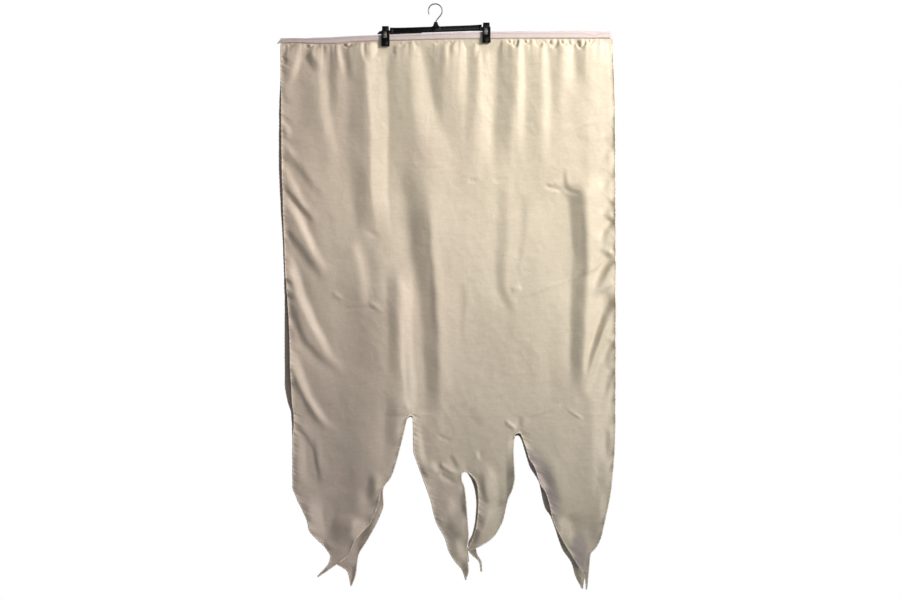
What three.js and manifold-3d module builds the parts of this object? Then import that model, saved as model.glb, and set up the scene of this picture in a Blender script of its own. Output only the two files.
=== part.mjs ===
// A worship flag of satin, gathered on two ribbon bands and clipped to a small plastic hanger.
// Millimetres, +Z up, +X to the viewer's right, the front face towards -Y.
// The origin is the seat inside the crown of the hanger's hook, which a nail or rail holds.

import * as THREE from 'three';
import { mergeVertices } from 'three/addons/utils/BufferGeometryUtils.js';
import Module from 'manifold-3d';

const { smoothstep, lerp, clamp } = THREE.MathUtils;
const manifoldLibrary = await Module();
manifoldLibrary.setup();

// Sheets: the stack that the clips hold, from the middle outwards
const pieceGap = 0.3;
const clothThickness = 1.5;
const bandThickness = 2;
const clothMiddle = pieceGap / 2 + clothThickness / 2;
const bandInner = pieceGap / 2 + clothThickness + pieceGap;
const bandOuter = bandInner + bandThickness;

// Hanger: the bar hangs below the hook's seat and tips up to the right
const hangerTilt = THREE.MathUtils.degToRad(2);
const barDrop = 75.5;
const barHalfLength = 138;
const barHeight = 16.6;
const barDepth = 7;
const webRecess = 1.6;
const webHeight = 9;
const barEndLength = 9;
const barEndHeight = 20;
const barEndDepth = 7.6;
const rodHeight = 10;
const rodDepth = 6;
const rodDrop = 3.2;
const rodReach = { left: 176, right: 164 };
const rodBevel = 6;
const bossTop = 22;
const bossDepth = 10;
const hookWire = 3.6;
const hookInnerRadius = 19;
const hookSweep = { from: -36, to: 204, step: 20 };
const socketDepth = 12;

// Clips: one at each end of the bar, a front and a back jaw on a steel spring
const clipOffset = 151.5;
const clipTop = 13.5;
const clipShoulder = 1;
const clipFoot = -47;
const clipWidth = 25;
const clipNeckWidth = 20.4;
const clipRound = 2.5;
const jawThickness = 3.6;
const jawBevel = 0.8;
const springThickness = 1;
const springBend = 0.8;
const springWidth = 8;
const springInner = bandOuter + pieceGap;
const jawInner = springInner + springThickness + pieceGap;
const springFoot = -21;
const windowTop = -2;
const windowFoot = -22;
const windowWidth = 9;
const padTop = -37;
const padFoot = -46;
const padWidth = 22;
const padFace = bandInner + 0.1;

// The foot line of the bands, where the gathered cloth comes out below them
const bandFootLine = [
  { x: -475, z: -116 },
  { x: -420, z: -115 },
  { x: -300, z: -118 },
  { x: -250, z: -112 },
  { x: -165, z: -109 },
  { x: 15, z: -104.5 },
  { x: 195, z: -102.5 },
  { x: 500, z: -102.5 },
  { x: 524, z: -119.5 },
  { x: 545, z: -119.5 },
];
const meanFoot = -106;
const clothTuck = 12;
const warpFoot = -450;

// The fullness of the cloth below the bands, and its flat places under the clips
const flatDrop = 2;
const fullness = 12;
const swellDrop = 60;
const gatherDrop = 24;
const clipFlatHalf = 24;
const clipFlatDrop = 26;
const clipEase = 22;

// Small puckers just below the bands: their height, spacing, unevenness and how far they reach
const puckerHeight = 2.2;
const puckerSpacing = 29;
const puckerWander = 258;
const puckerShift = 1.7;
const puckerReach = 36;

// The share of a fold's length after which it starts to fade out
const fadeFrom = 0.7;

// Where each slit between two tongues ends, and the points of the four tongues
const slits = {
  left: { x: -75, z: -1239 },
  middle: { x: 90, z: -1402 },
  right: { x: 249, z: -1292 },
};

// The edges of the front cloth, each a row of points from the bands down to the tongue's tip
const frontEdges = {
  left: [
    { z: -108, x: -462 }, { z: -228, x: -460 }, { z: -468, x: -459 }, { z: -588, x: -455 },
    { z: -768, x: -449 }, { z: -888, x: -441 }, { z: -1008, x: -435 }, { z: -1188, x: -429 },
    { z: -1248, x: -423 }, { z: -1308, x: -426 }, { z: -1449, x: -426 }, { z: -1479, x: -414 },
    { z: -1548, x: -381 }, { z: -1578, x: -373 }, { z: -1635, x: -324 }, { z: -1656, x: -312 },
    { z: -1671, x: -315 }, { z: -1716, x: -351 },
  ],
  slitLeftA: [
    { z: -1239, x: -75 }, { z: -1248, x: -85 }, { z: -1278, x: -93 }, { z: -1338, x: -108 },
    { z: -1413, x: -131 }, { z: -1464, x: -165 }, { z: -1488, x: -168 }, { z: -1518, x: -177 },
    { z: -1554, x: -193 }, { z: -1611, x: -243 }, { z: -1638, x: -253 }, { z: -1659, x: -267 },
    { z: -1683, x: -303 }, { z: -1716, x: -351 },
  ],
  slitLeftB: [
    { z: -1239, x: -75 }, { z: -1248, x: -65 }, { z: -1338, x: -63 }, { z: -1368, x: -54 },
    { z: -1488, x: -12 }, { z: -1548, x: 3 }, { z: -1608, x: 33 }, { z: -1638, x: 42 },
    { z: -1668, x: 60 }, { z: -1698, x: 83 }, { z: -1725, x: 92 },
  ],
  slitMiddleA: [
    { z: -1402, x: 90 }, { z: -1412, x: 78 }, { z: -1428, x: 79 }, { z: -1449, x: 87 },
    { z: -1548, x: 96 }, { z: -1593, x: 99 }, { z: -1638, x: 94 }, { z: -1698, x: 99 },
    { z: -1725, x: 92 },
  ],
  slitMiddleB: [
    { z: -1402, x: 90 }, { z: -1412, x: 108 }, { z: -1428, x: 121 }, { z: -1449, x: 128 },
    { z: -1488, x: 131 }, { z: -1533, x: 129 }, { z: -1593, x: 117 }, { z: -1641, x: 96 },
  ],
  slitRightA: [
    { z: -1292, x: 249 }, { z: -1300, x: 237 }, { z: -1338, x: 234 }, { z: -1422, x: 237 },
    { z: -1449, x: 232 }, { z: -1488, x: 216 }, { z: -1548, x: 203 }, { z: -1578, x: 189 },
    { z: -1602, x: 171 }, { z: -1632, x: 117 }, { z: -1641, x: 96 },
  ],
  slitRightB: [
    { z: -1292, x: 249 }, { z: -1300, x: 261 }, { z: -1338, x: 276 }, { z: -1368, x: 282 },
    { z: -1416, x: 309 }, { z: -1443, x: 318 }, { z: -1488, x: 341 }, { z: -1518, x: 348 },
    { z: -1614, x: 387 }, { z: -1668, x: 420 }, { z: -1719, x: 450 }, { z: -1755, x: 454 },
  ],
  right: [
    { z: -102, x: 533 }, { z: -588, x: 535 }, { z: -888, x: 538 }, { z: -1260, x: 538 },
    { z: -1338, x: 536 }, { z: -1398, x: 531 }, { z: -1488, x: 521 }, { z: -1548, x: 507 },
    { z: -1608, x: 491 }, { z: -1629, x: 480 }, { z: -1647, x: 464 }, { z: -1698, x: 459 },
    { z: -1755, x: 454 },
  ],
};

// The edges of the back cloth, which shows past the front one along the sides and at the tips
const backEdges = {
  left: [
    { z: -108, x: -461 }, { z: -228, x: -465 }, { z: -330, x: -469 }, { z: -468, x: -469 },
    { z: -588, x: -465 }, { z: -708, x: -458 }, { z: -888, x: -452 }, { z: -1140, x: -451 },
    { z: -1188, x: -444 }, { z: -1233, x: -432 }, { z: -1449, x: -424 }, { z: -1479, x: -410 },
    { z: -1572, x: -368 }, { z: -1644, x: -311 }, { z: -1677, x: -301 }, { z: -1707, x: -262 },
    { z: -1749, x: -253 },
  ],
  slitLeftA: [
    { z: -1239, x: -75 }, { z: -1248, x: -87 }, { z: -1338, x: -110 }, { z: -1413, x: -133 },
    { z: -1464, x: -159 }, { z: -1503, x: -157 }, { z: -1548, x: -172 }, { z: -1608, x: -204 },
    { z: -1662, x: -234 }, { z: -1713, x: -240 }, { z: -1749, x: -253 },
  ],
  slitLeftB: [
    { z: -1239, x: -75 }, { z: -1248, x: -62 }, { z: -1338, x: -59 }, { z: -1398, x: -39 },
    { z: -1488, x: -6 }, { z: -1548, x: 9 }, { z: -1608, x: 45 }, { z: -1656, x: 90 },
    { z: -1677, x: 101 },
  ],
  slitMiddleA: [
    { z: -1402, x: 90 }, { z: -1412, x: 76 }, { z: -1449, x: 84 }, { z: -1473, x: 90 },
    { z: -1608, x: 94 }, { z: -1677, x: 101 },
  ],
  slitMiddleB: [
    { z: -1402, x: 90 }, { z: -1412, x: 99 }, { z: -1431, x: 106 }, { z: -1464, x: 115 },
    { z: -1500, x: 120 }, { z: -1548, x: 118 }, { z: -1593, x: 113 }, { z: -1623, x: 101 },
    { z: -1644, x: 103 }, { z: -1680, x: 135 }, { z: -1707, x: 139 },
  ],
  slitRightA: [
    { z: -1292, x: 249 }, { z: -1300, x: 237 }, { z: -1338, x: 232 }, { z: -1422, x: 234 },
    { z: -1467, x: 222 }, { z: -1512, x: 208 }, { z: -1554, x: 195 }, { z: -1602, x: 159 },
    { z: -1632, x: 121 }, { z: -1656, x: 126 }, { z: -1680, x: 139 }, { z: -1707, x: 140 },
  ],
  slitRightB: [
    { z: -1292, x: 249 }, { z: -1300, x: 259 }, { z: -1338, x: 271 }, { z: -1383, x: 281 },
    { z: -1428, x: 308 }, { z: -1488, x: 327 }, { z: -1518, x: 335 }, { z: -1560, x: 359 },
    { z: -1638, x: 385 }, { z: -1683, x: 414 }, { z: -1716, x: 423 }, { z: -1758, x: 444 },
  ],
  right: [
    { z: -102, x: 532 }, { z: -162, x: 534 }, { z: -190, x: 541 }, { z: -588, x: 542 },
    { z: -1260, x: 543 }, { z: -1338, x: 540 }, { z: -1398, x: 531 }, { z: -1488, x: 519 },
    { z: -1548, x: 506 }, { z: -1608, x: 488 }, { z: -1641, x: 462 }, { z: -1698, x: 453 },
    { z: -1758, x: 444 },
  ],
};

// Folds that fall from the gathers: x at the band, x where each fades, its length, half width
// and depth, where a ridge stands towards the viewer and a trough (negative) goes back
const frontFalls = [
  { top: -399, foot: -423, drop: 140, width: 10, depth: 10 },
  { top: -369, foot: -381, drop: 220, width: 14, depth: -7 },
  { top: -342, foot: -294, drop: 470, width: 12, depth: 11 },
  { top: -288, foot: -270, drop: 120, width: 8, depth: 7 },
  { top: -234, foot: -231, drop: 480, width: 20, depth: -7 },
  { top: -180, foot: -150, drop: 600, width: 26, depth: 13 },
  { top: -117, foot: -96, drop: 420, width: 22, depth: -8 },
  { top: -66, foot: 15, drop: 400, width: 17, depth: 11 },
  { top: -21, foot: 6, drop: 290, width: 12, depth: -7 },
  { top: 42, foot: 42, drop: 90, width: 9, depth: -7 },
  { top: 70, foot: 66, drop: 300, width: 16, depth: 7 },
  { top: 117, foot: 100, drop: 440, width: 11, depth: -7 },
  { top: 153, foot: 150, drop: 500, width: 16, depth: 11 },
  { top: 192, foot: 205, drop: 450, width: 19, depth: -10 },
  { top: 249, foot: 252, drop: 400, width: 10, depth: 10 },
  { top: 330, foot: 330, drop: 420, width: 11, depth: 7 },
  { top: 368, foot: 372, drop: 380, width: 11, depth: -8 },
  { top: 435, foot: 441, drop: 160, width: 12, depth: -8 },
  { top: 489, foot: 489, drop: 680, width: 24, depth: 8 },
];

// Long soft folds of the body, and the drag folds that run in from the two side hems
const frontFolds = [
  { path: [[393, -438], [420, -573], [423, -888], [417, -1158]], width: 22, depth: -11 },
  { path: [[-75, -498], [-45, -708], [-21, -888], [-9, -1263]], width: 20, depth: -10 },
  { path: [[-81, -858], [-78, -1038], [-70, -1215]], width: 14, depth: 8 },
  { path: [[204, -528], [198, -798], [213, -873], [252, -942]], width: 11, depth: -7 },
  { path: [[-456, -444], [-390, -513], [-330, -597]], width: 10, depth: -7 },
  { path: [[-456, -483], [-405, -573], [-369, -633]], width: 8, depth: 7 },
  { path: [[-450, -546], [-390, -627], [-363, -654]], width: 8, depth: -8 },
  { path: [[-447, -597], [-381, -708], [-339, -774], [-297, -825]], width: 13, depth: 15 },
  { path: [[-450, -663], [-381, -762], [-330, -843]], width: 12, depth: -10 },
  { path: [[-447, -759], [-396, -858], [-327, -1023], [-255, -1119]], width: 13, depth: 17 },
  { path: [[-435, -888], [-381, -1014], [-330, -1068], [-255, -1128]], width: 11, depth: -10 },
  { path: [[-432, -1038], [-369, -1164], [-330, -1224], [-270, -1293]], width: 13, depth: 15 },
  { path: [[-429, -1098], [-360, -1233], [-315, -1308]], width: 11, depth: -8 },
  { path: [[-402, -1308], [-387, -1383], [-369, -1473]], width: 10, depth: 7 },
  { path: [[537, -654], [504, -708]], width: 9, depth: -7 },
  { path: [[531, -747], [480, -786], [426, -819], [300, -866]], width: 10, depth: 10 },
  { path: [[525, -774], [504, -813], [480, -858]], width: 9, depth: -7 },
  { path: [[537, -837], [477, -867]], width: 10, depth: 8 },
  { path: [[537, -879], [495, -963], [471, -1038], [459, -1122]], width: 10, depth: -10 },
  { path: [[534, -972], [501, -1029], [471, -1098], [459, -1173]], width: 10, depth: 8 },
  { path: [[-342, -1490], [-336, -1608]], width: 14, depth: 8 },
  { path: [[-231, -1520], [-225, -1608]], width: 12, depth: 7 },
  { path: [[15, -1428], [75, -1449]], width: 11, depth: -7 },
  { path: [[42, -1530], [60, -1640]], width: 14, depth: -7 },
  { path: [[165, -1545], [120, -1620]], width: 18, depth: 13 },
  { path: [[225, -1330], [222, -1480]], width: 12, depth: -7 },
  { path: [[351, -1398], [363, -1533]], width: 16, depth: -8 },
  { path: [[399, -1563], [417, -1632]], width: 10, depth: 8 },
  { path: [[435, -1593], [441, -1683]], width: 12, depth: -7 },
];

// The back cloth hangs in folds of its own
const backFalls = [
  { top: -425, foot: -440, drop: 260, width: 14, depth: 8 },
  { top: -380, foot: -372, drop: 380, width: 16, depth: -7 },
  { top: -330, foot: -300, drop: 620, width: 20, depth: 13 },
  { top: -262, foot: -250, drop: 330, width: 16, depth: -7 },
  { top: -205, foot: -196, drop: 720, width: 24, depth: 13 },
  { top: -110, foot: -92, drop: 480, width: 20, depth: -8 },
  { top: -55, foot: -20, drop: 760, width: 22, depth: 13 },
  { top: 8, foot: 30, drop: 340, width: 15, depth: -7 },
  { top: 62, foot: 84, drop: 560, width: 20, depth: 11 },
  { top: 118, foot: 128, drop: 420, width: 15, depth: -7 },
  { top: 210, foot: 200, drop: 700, width: 24, depth: 13 },
  { top: 268, foot: 280, drop: 360, width: 16, depth: -7 },
  { top: 330, foot: 352, drop: 640, width: 22, depth: 11 },
  { top: 398, foot: 402, drop: 420, width: 16, depth: -8 },
  { top: 460, foot: 470, drop: 560, width: 22, depth: 11 },
];
const backFolds = [
  { path: [[-455, -560], [-400, -690], [-335, -800]], width: 13, depth: 13 },
  { path: [[-448, -720], [-385, -850], [-300, -960]], width: 12, depth: -8 },
  { path: [[-446, -860], [-380, -1000], [-290, -1130]], width: 14, depth: 14 },
  { path: [[-440, -1050], [-370, -1180], [-300, -1300]], width: 13, depth: 11 },
  { path: [[538, -600], [490, -700], [430, -770]], width: 12, depth: 11 },
  { path: [[540, -780], [480, -880], [440, -980]], width: 12, depth: -8 },
  { path: [[538, -920], [480, -1040], [440, -1150]], width: 14, depth: 13 },
  { path: [[-60, -900], [-70, -1060], [-75, -1225]], width: 18, depth: 11 },
  { path: [[95, -1050], [92, -1230], [90, -1385]], width: 18, depth: 10 },
  { path: [[262, -960], [256, -1120], [250, -1280]], width: 16, depth: 10 },
  { path: [[-290, -1330], [-270, -1480], [-262, -1640]], width: 18, depth: 10 },
  { path: [[10, -1400], [50, -1560]], width: 14, depth: 8 },
  { path: [[180, -1400], [165, -1560]], width: 16, depth: 8 },
  { path: [[400, -1330], [420, -1500], [440, -1660]], width: 18, depth: 10 },
];

// Rows of the cloth grids, from the tucked top edge to below the last tip
const tuckedRows = [meanFoot + clothTuck, meanFoot];
const frontSlitRows = [
  -1239, -1248, -1268, -1292, -1300, -1338, -1370, -1402, -1412, -1430, -1464, -1488, -1518,
  -1548, -1578, -1608, -1635, -1656, -1671, -1686, -1704, -1725,
];
const backSlitRows = [
  -1239, -1248, -1292, -1300, -1350, -1402, -1412, -1449, -1488, -1530, -1572, -1608, -1644,
  -1677, -1707, -1730,
];
const fineFoot = -168;
const narrowFrom = -1460;
const leastTipRow = 6;

function evenRows(from, to, step) {
  const count = Math.round((from - to) / step);
  return Array.from({ length: count }, (_, i) => lerp(from, to, i / count));
}

const frontRows = [
  ...tuckedRows, -111, -121, -139, -166, -205, ...evenRows(-246, -1239, 40), ...frontSlitRows,
];
const backRows = [
  ...tuckedRows, -112, -126, -152, -190, ...evenRows(-250, -1239, 90), ...backSlitRows,
];

// Columns across each of the four tongues and the cloth above it, at its coarsest; the grid is
// doubled above the tongues' lower ends and doubled again in the gathers
const frontColumns = [{ count: 10, crowd: 1.3 }, { count: 3, crowd: 1 }, { count: 3, crowd: 1 },
  { count: 6, crowd: 0.77 }];
const backColumns = [{ count: 7, crowd: 1.1 }, { count: 3, crowd: 1 }, { count: 3, crowd: 1 },
  { count: 5, crowd: 0.9 }];

function valueAt(table, at, key, value) {
  const rising = table[0][key] < table[table.length - 1][key];
  const rows = rising ? table : [...table].reverse();
  if (at <= rows[0][key]) return rows[0][value];
  for (let i = 1; i < rows.length; i += 1) {
    if (at <= rows[i][key]) {
      const share = (at - rows[i - 1][key]) / (rows[i][key] - rows[i - 1][key]);
      return lerp(rows[i - 1][value], rows[i][value], share);
    }
  }
  return rows[rows.length - 1][value];
}

const bandFootAt = (x) => valueAt(bandFootLine, x, 'x', 'z');

function ridgeHeight(fold, x, z) {
  let nearest = Infinity;
  let along = 0;
  const spans = fold.path.length - 1;
  for (let i = 0; i < spans; i += 1) {
    const [ax, az] = fold.path[i];
    const dx = fold.path[i + 1][0] - ax;
    const dz = fold.path[i + 1][1] - az;
    const t = clamp(((x - ax) * dx + (z - az) * dz) / (dx * dx + dz * dz), 0, 1);
    const distance = Math.hypot(x - ax - t * dx, z - az - t * dz);
    if (distance < nearest) {
      nearest = distance;
      along = (i + t) / spans;
    }
  }
  const fade = 1 - smoothstep(along, fadeFrom, 1);
  return fold.depth * fade * Math.exp(-((nearest / fold.width) ** 2));
}

function fallingFold({ top, foot, drop, width, depth }) {
  const start = bandFootAt(top);
  return { path: [[top, start], [foot, start - drop]], width, depth };
}

// How far the clips let the cloth leave the flat: 0 under a jaw, 1 away from it
function clipFreedom(x, below) {
  const level = barDrop - padTop;
  let freedom = 1;
  for (const side of [-1, 1]) {
    const centre = side * clipOffset * Math.cos(hangerTilt) + level * Math.sin(hangerTilt);
    const aside = smoothstep(Math.abs(x - centre), clipFlatHalf, clipFlatHalf + clipEase);
    const under = smoothstep(below, clipFlatDrop, clipFlatDrop + 2 * clipEase);
    freedom = Math.min(freedom, Math.max(aside, under));
  }
  return freedom;
}

// Small puckers just below the band, uneven along its length
function pucker(x, below, phase) {
  const turn = 2 * Math.PI * x;
  const wander = puckerShift * Math.sin(turn / puckerWander + phase);
  return puckerHeight * Math.sin(turn / puckerSpacing + phase + wander)
    * Math.exp(-below / puckerReach);
}

// Distance of the cloth's middle from the middle plane of the stack
function clothDepth(x, z, folds, phase) {
  const below = bandFootAt(x) - z;
  if (below <= flatDrop) return clothMiddle;
  const swell = fullness * smoothstep(below, flatDrop, swellDrop);
  const relief = folds.reduce((sum, fold) => sum + ridgeHeight(fold, x, z), 0);
  const gathered = (relief + pucker(x, below, phase)) * smoothstep(below, flatDrop, gatherDrop);
  return clothMiddle + Math.max(0, swell + gathered) * clipFreedom(x, below);
}

// Gives a grid of points on one gore: the cloth above one tongue and the tongue itself
function gorePoint(gore, row, share) {
  const spread = share ** gore.crowd;
  const x = lerp(valueAt(gore.left, row, 'z', 'x'), valueAt(gore.right, row, 'z', 'x'), spread);
  const warp = (bandFootAt(x) - meanFoot) * (1 - smoothstep(-row, -meanFoot, -warpFoot));
  return [x, row + warp];
}

function goresOf(edges, columns) {
  const seam = ({ x, z }) => ({ z: 0, x, apex: z });
  const sides = [
    [edges.left, [seam(slits.left), ...edges.slitLeftA]],
    [[seam(slits.left), ...edges.slitLeftB], [seam(slits.middle), ...edges.slitMiddleA]],
    [[seam(slits.middle), ...edges.slitMiddleB], [seam(slits.right), ...edges.slitRightA]],
    [[seam(slits.right), ...edges.slitRightB], edges.right],
  ];
  return sides.map(([left, right], i) => ({
    left, right, tip: left[left.length - 1], ...columns[i],
  }));
}

// Builds the middle surface of a cloth as points and triangles, merged where gores meet
function clothSurface(edges, rows, columns, depthAt) {
  const points = [];
  const triangles = [];
  const known = new Map();

  function pointIndex(gore, row, share) {
    const atTip = row === gore.tip.z;
    const [x, z] = atTip ? [gore.tip.x, gore.tip.z] : gorePoint(gore, row, share);
    const key = `${x.toFixed(3)} ${z.toFixed(3)}`;
    if (!known.has(key)) {
      known.set(key, points.length);
      points.push(new THREE.Vector3(x, depthAt(x, z), z));
    }
    return known.get(key);
  }

  function addTriangle(a, b, c) {
    if (a !== b && b !== c && c !== a) triangles.push([a, b, c]);
  }

  // Splits a square along the diagonal that lies nearer to the cloth's own form
  function addSquare(a, b, c, d) {
    const corner = (i) => points[i];
    const middle = [a, b, c, d].map(corner)
      .reduce((sum, p) => sum.add(p), new THREE.Vector3()).divideScalar(4);
    const target = depthAt(middle.x, middle.z);
    const along = Math.abs((corner(a).y + corner(c).y) / 2 - target);
    const across = Math.abs((corner(b).y + corner(d).y) / 2 - target);
    if (along < across) {
      addTriangle(a, b, c);
      addTriangle(a, c, d);
    } else {
      addTriangle(a, b, d);
      addTriangle(b, c, d);
    }
  }

  const doublings = (row) => (row > fineFoot ? 2 : row > narrowFrom ? 1 : 0);
  for (const gore of goresOf(edges, columns)) {
    const own = [...rows.filter((row) => row > gore.tip.z + leastTipRow), gore.tip.z];
    const lines = own.map((row) => {
      const count = gore.count * 2 ** doublings(row);
      return Array.from({ length: count + 1 }, (_, i) => pointIndex(gore, row, i / count));
    });
    for (let r = 0; r + 1 < lines.length; r += 1) {
      const upper = lines[r];
      const lower = lines[r + 1];
      const same = upper.length === lower.length;
      for (let i = 0; i + 1 < lower.length; i += 1) {
        if (same) {
          addSquare(upper[i], lower[i], lower[i + 1], upper[i + 1]);
        } else {
          addTriangle(upper[2 * i], lower[i], upper[2 * i + 1]);
          addTriangle(upper[2 * i + 1], lower[i], lower[i + 1]);
          addTriangle(upper[2 * i + 1], lower[i + 1], upper[2 * i + 2]);
        }
      }
    }
  }
  return { points, triangles };
}

// Turns a surface into a closed sheet of even thickness
function thickSheet({ points, triangles }, thickness) {
  const normals = points.map(() => new THREE.Vector3());
  const edgeOf = new Map();
  for (const [a, b, c] of triangles) {
    const ab = points[b].clone().sub(points[a]);
    const ac = points[c].clone().sub(points[a]);
    const normal = ab.cross(ac);
    for (const corner of [a, b, c]) normals[corner].add(normal);
    for (const [from, to] of [[a, b], [b, c], [c, a]]) edgeOf.set(`${from} ${to}`, [from, to]);
  }
  const count = points.length;
  const position = new Float32Array(count * 6);
  points.forEach((point, i) => {
    const offset = normals[i].normalize().multiplyScalar(thickness / 2);
    point.clone().add(offset).toArray(position, i * 3);
    point.clone().sub(offset).toArray(position, (i + count) * 3);
  });
  const index = [];
  for (const [a, b, c] of triangles) index.push(a, b, c, c + count, b + count, a + count);
  for (const [from, to] of edgeOf.values()) {
    if (edgeOf.has(`${to} ${from}`)) continue;
    index.push(to, from, from + count, to, from + count, to + count);
  }
  const geometry = new THREE.BufferGeometry();
  geometry.setAttribute('position', new THREE.BufferAttribute(position, 3));
  geometry.setIndex(index);
  return geometry;
}

// side is -1 for the front cloth and 1 for the back one
function clothGeometry(side, edges, rows, columns, falls, folds, phase) {
  const all = [...falls.map(fallingFold), ...folds];
  const depthAt = (x, z) => side * clothDepth(x, z, all, phase);
  return thickSheet(clothSurface(edges, rows, columns, depthAt), clothThickness);
}

// Outlines of the two ribbon bands, round from the left end along the top
const frontBandOutline = [
  [-474, -119], [-470, -112.5], [-466, -105], [-435, -104], [-393, -102.8], [-369, -100.6],
  [-312, -99.2], [-249, -95.4], [-180, -92.6], [-105, -90.2], [3, -86.2], [75, -83.8],
  [141, -82.6], [195, -81.6], [375, -81.6], [447, -82], [465, -88], [486, -89.5], [501, -82.5],
  [528, -81], [531, -88.5], [533, -101.5], [375, -102], [195, -102.5], [15, -104.5],
  [-105, -108], [-165, -109], [-225, -110.5], [-250, -112], [-282, -117], [-340, -118],
  [-420, -115], [-462, -116],
];
const backBandOutline = [
  [-462, -116], [-463, -106.5], [-393, -104], [-249, -96.5], [-105, -91.4], [3, -87.2],
  [141, -83.4], [360, -81], [405, -79], [465, -79], [489, -80.5], [528, -81.5], [533, -96],
  [539, -98], [538, -118.5], [528, -119], [526, -101.5], [375, -102], [195, -102.5],
  [15, -104.5], [-105, -108], [-165, -109], [-250, -112], [-282, -117], [-340, -118],
  [-420, -115],
];

// Extrudes an outline drawn in the XZ plane from y = near to y = far
function plateGeometry(shape, near, far, bevel = 0) {
  const geometry = new THREE.ExtrudeGeometry(shape, {
    depth: far - near - 2 * bevel,
    bevelEnabled: bevel > 0,
    bevelThickness: bevel,
    bevelSize: bevel,
    bevelOffset: -bevel,
    bevelSegments: 1,
    curveSegments: 3,
  });
  geometry.rotateX(Math.PI / 2);
  geometry.translate(0, far - bevel, 0);
  return geometry;
}

const outlineShape = (points) => new THREE.Shape(points.map(([x, z]) => new THREE.Vector2(x, z)));

// Booleans on closed meshes
function solidOf(geometry) {
  const bare = geometry.clone();
  bare.deleteAttribute('normal');
  bare.deleteAttribute('uv');
  const merged = mergeVertices(bare, 1e-4);
  return new manifoldLibrary.Manifold(new manifoldLibrary.Mesh({
    numProp: 3,
    vertProperties: Float32Array.from(merged.attributes.position.array),
    triVerts: Uint32Array.from(merged.index.array),
  }));
}

function geometryOf(solid) {
  const mesh = solid.getMesh();
  const geometry = new THREE.BufferGeometry();
  geometry.setAttribute('position', new THREE.BufferAttribute(mesh.vertProperties, 3));
  geometry.setIndex(new THREE.BufferAttribute(mesh.triVerts, 1));
  return geometry;
}

function boxSolid(x0, x1, y0, y1, z0, z1) {
  const box = new THREE.BoxGeometry(x1 - x0, y1 - y0, z1 - z0);
  box.translate((x0 + x1) / 2, (y0 + y1) / 2, (z0 + z1) / 2);
  return solidOf(box);
}

// The bar: an I-section with thick ends, a thin rod at each end for the clip, and the hook's boss
function barGeometry() {
  const half = barDepth / 2;
  const web = half - webRecess;
  const tall = barHeight / 2;
  const recess = webHeight / 2;
  const section = new THREE.Shape([
    [-half, -tall], [half, -tall], [half, -recess], [web, -recess], [web, recess],
    [half, recess], [half, tall], [-half, tall], [-half, recess], [-web, recess],
    [-web, -recess], [-half, -recess],
  ].map(([y, z]) => new THREE.Vector2(y, z)));
  const beam = new THREE.ExtrudeGeometry(section, {
    depth: 2 * barHalfLength, bevelEnabled: false,
  });
  // The section's first axis becomes Y and its second Z, and it is drawn out along X
  beam.rotateX(Math.PI / 2);
  beam.rotateZ(Math.PI / 2);
  beam.translate(-barHalfLength, 0, 0);
  let bar = solidOf(beam);

  for (const side of [-1, 1]) {
    const inner = side * (barHalfLength - barEndLength);
    const outer = side * barHalfLength;
    bar = bar.add(boxSolid(Math.min(inner, outer), Math.max(inner, outer),
      -barEndDepth / 2, barEndDepth / 2, -barEndHeight / 2, barEndHeight / 2));
  }
  const rodTop = -rodDrop + rodHeight / 2;
  const rodFoot = -rodDrop - rodHeight / 2;
  const rod = plateGeometry(outlineShape([
    [-rodReach.left, rodFoot], [rodReach.right, rodFoot], [rodReach.right, rodTop],
    [-rodReach.left + rodBevel, rodTop],
  ]), -rodDepth / 2, rodDepth / 2);
  bar = bar.add(solidOf(rod));

  // The boss is turned, then flattened at its front and back
  const bossProfile = [
    [0, 0], [12, 0], [11, 8.3], [8.6, 10], [7, 14], [5.8, 18], [4.2, bossTop], [0, bossTop],
  ];
  const boss = new THREE.LatheGeometry(
    bossProfile.map(([r, z]) => new THREE.Vector2(r, z)), 20,
  );
  boss.rotateX(Math.PI / 2);
  const flats = boxSolid(-bossTop, bossTop, -bossDepth / 2, bossDepth / 2, 0, 2 * bossTop);
  bar = bar.add(solidOf(boss).intersect(flats));

  const socketRadius = hookWire / 2 + pieceGap;
  const socket = new THREE.CylinderGeometry(socketRadius, socketRadius, 2 * socketDepth, 12);
  socket.rotateX(Math.PI / 2);
  socket.translate(0, 0, bossTop);
  return geometryOf(bar.subtract(solidOf(socket)));
}

// The hook: round wire from the boss up and round to the open left side
function hookGeometry() {
  const centreRadius = hookInnerRadius + hookWire / 2;
  const shankFoot = -barDrop + bossTop - socketDepth + pieceGap;
  const shankTop = -barDrop + bossTop;
  const points = [
    [0, shankFoot], [0, (shankFoot + shankTop) / 2], [0, shankTop], [2.5, shankTop + 5],
    [7.5, shankTop + 11.5],
  ];
  for (let angle = hookSweep.from; angle <= hookSweep.to; angle += hookSweep.step) {
    const turn = THREE.MathUtils.degToRad(angle);
    points.push([
      centreRadius * Math.cos(turn), -hookInnerRadius + centreRadius * Math.sin(turn),
    ]);
  }
  const route = new THREE.CatmullRomCurve3(
    points.map(([x, z]) => new THREE.Vector3(x, 0, z)), false, 'centripetal',
  );
  const section = new THREE.Shape().absarc(0, 0, hookWire / 2, 0, 2 * Math.PI);
  return new THREE.ExtrudeGeometry(section, {
    steps: 36, curveSegments: 4, extrudePath: route,
  });
}

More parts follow.
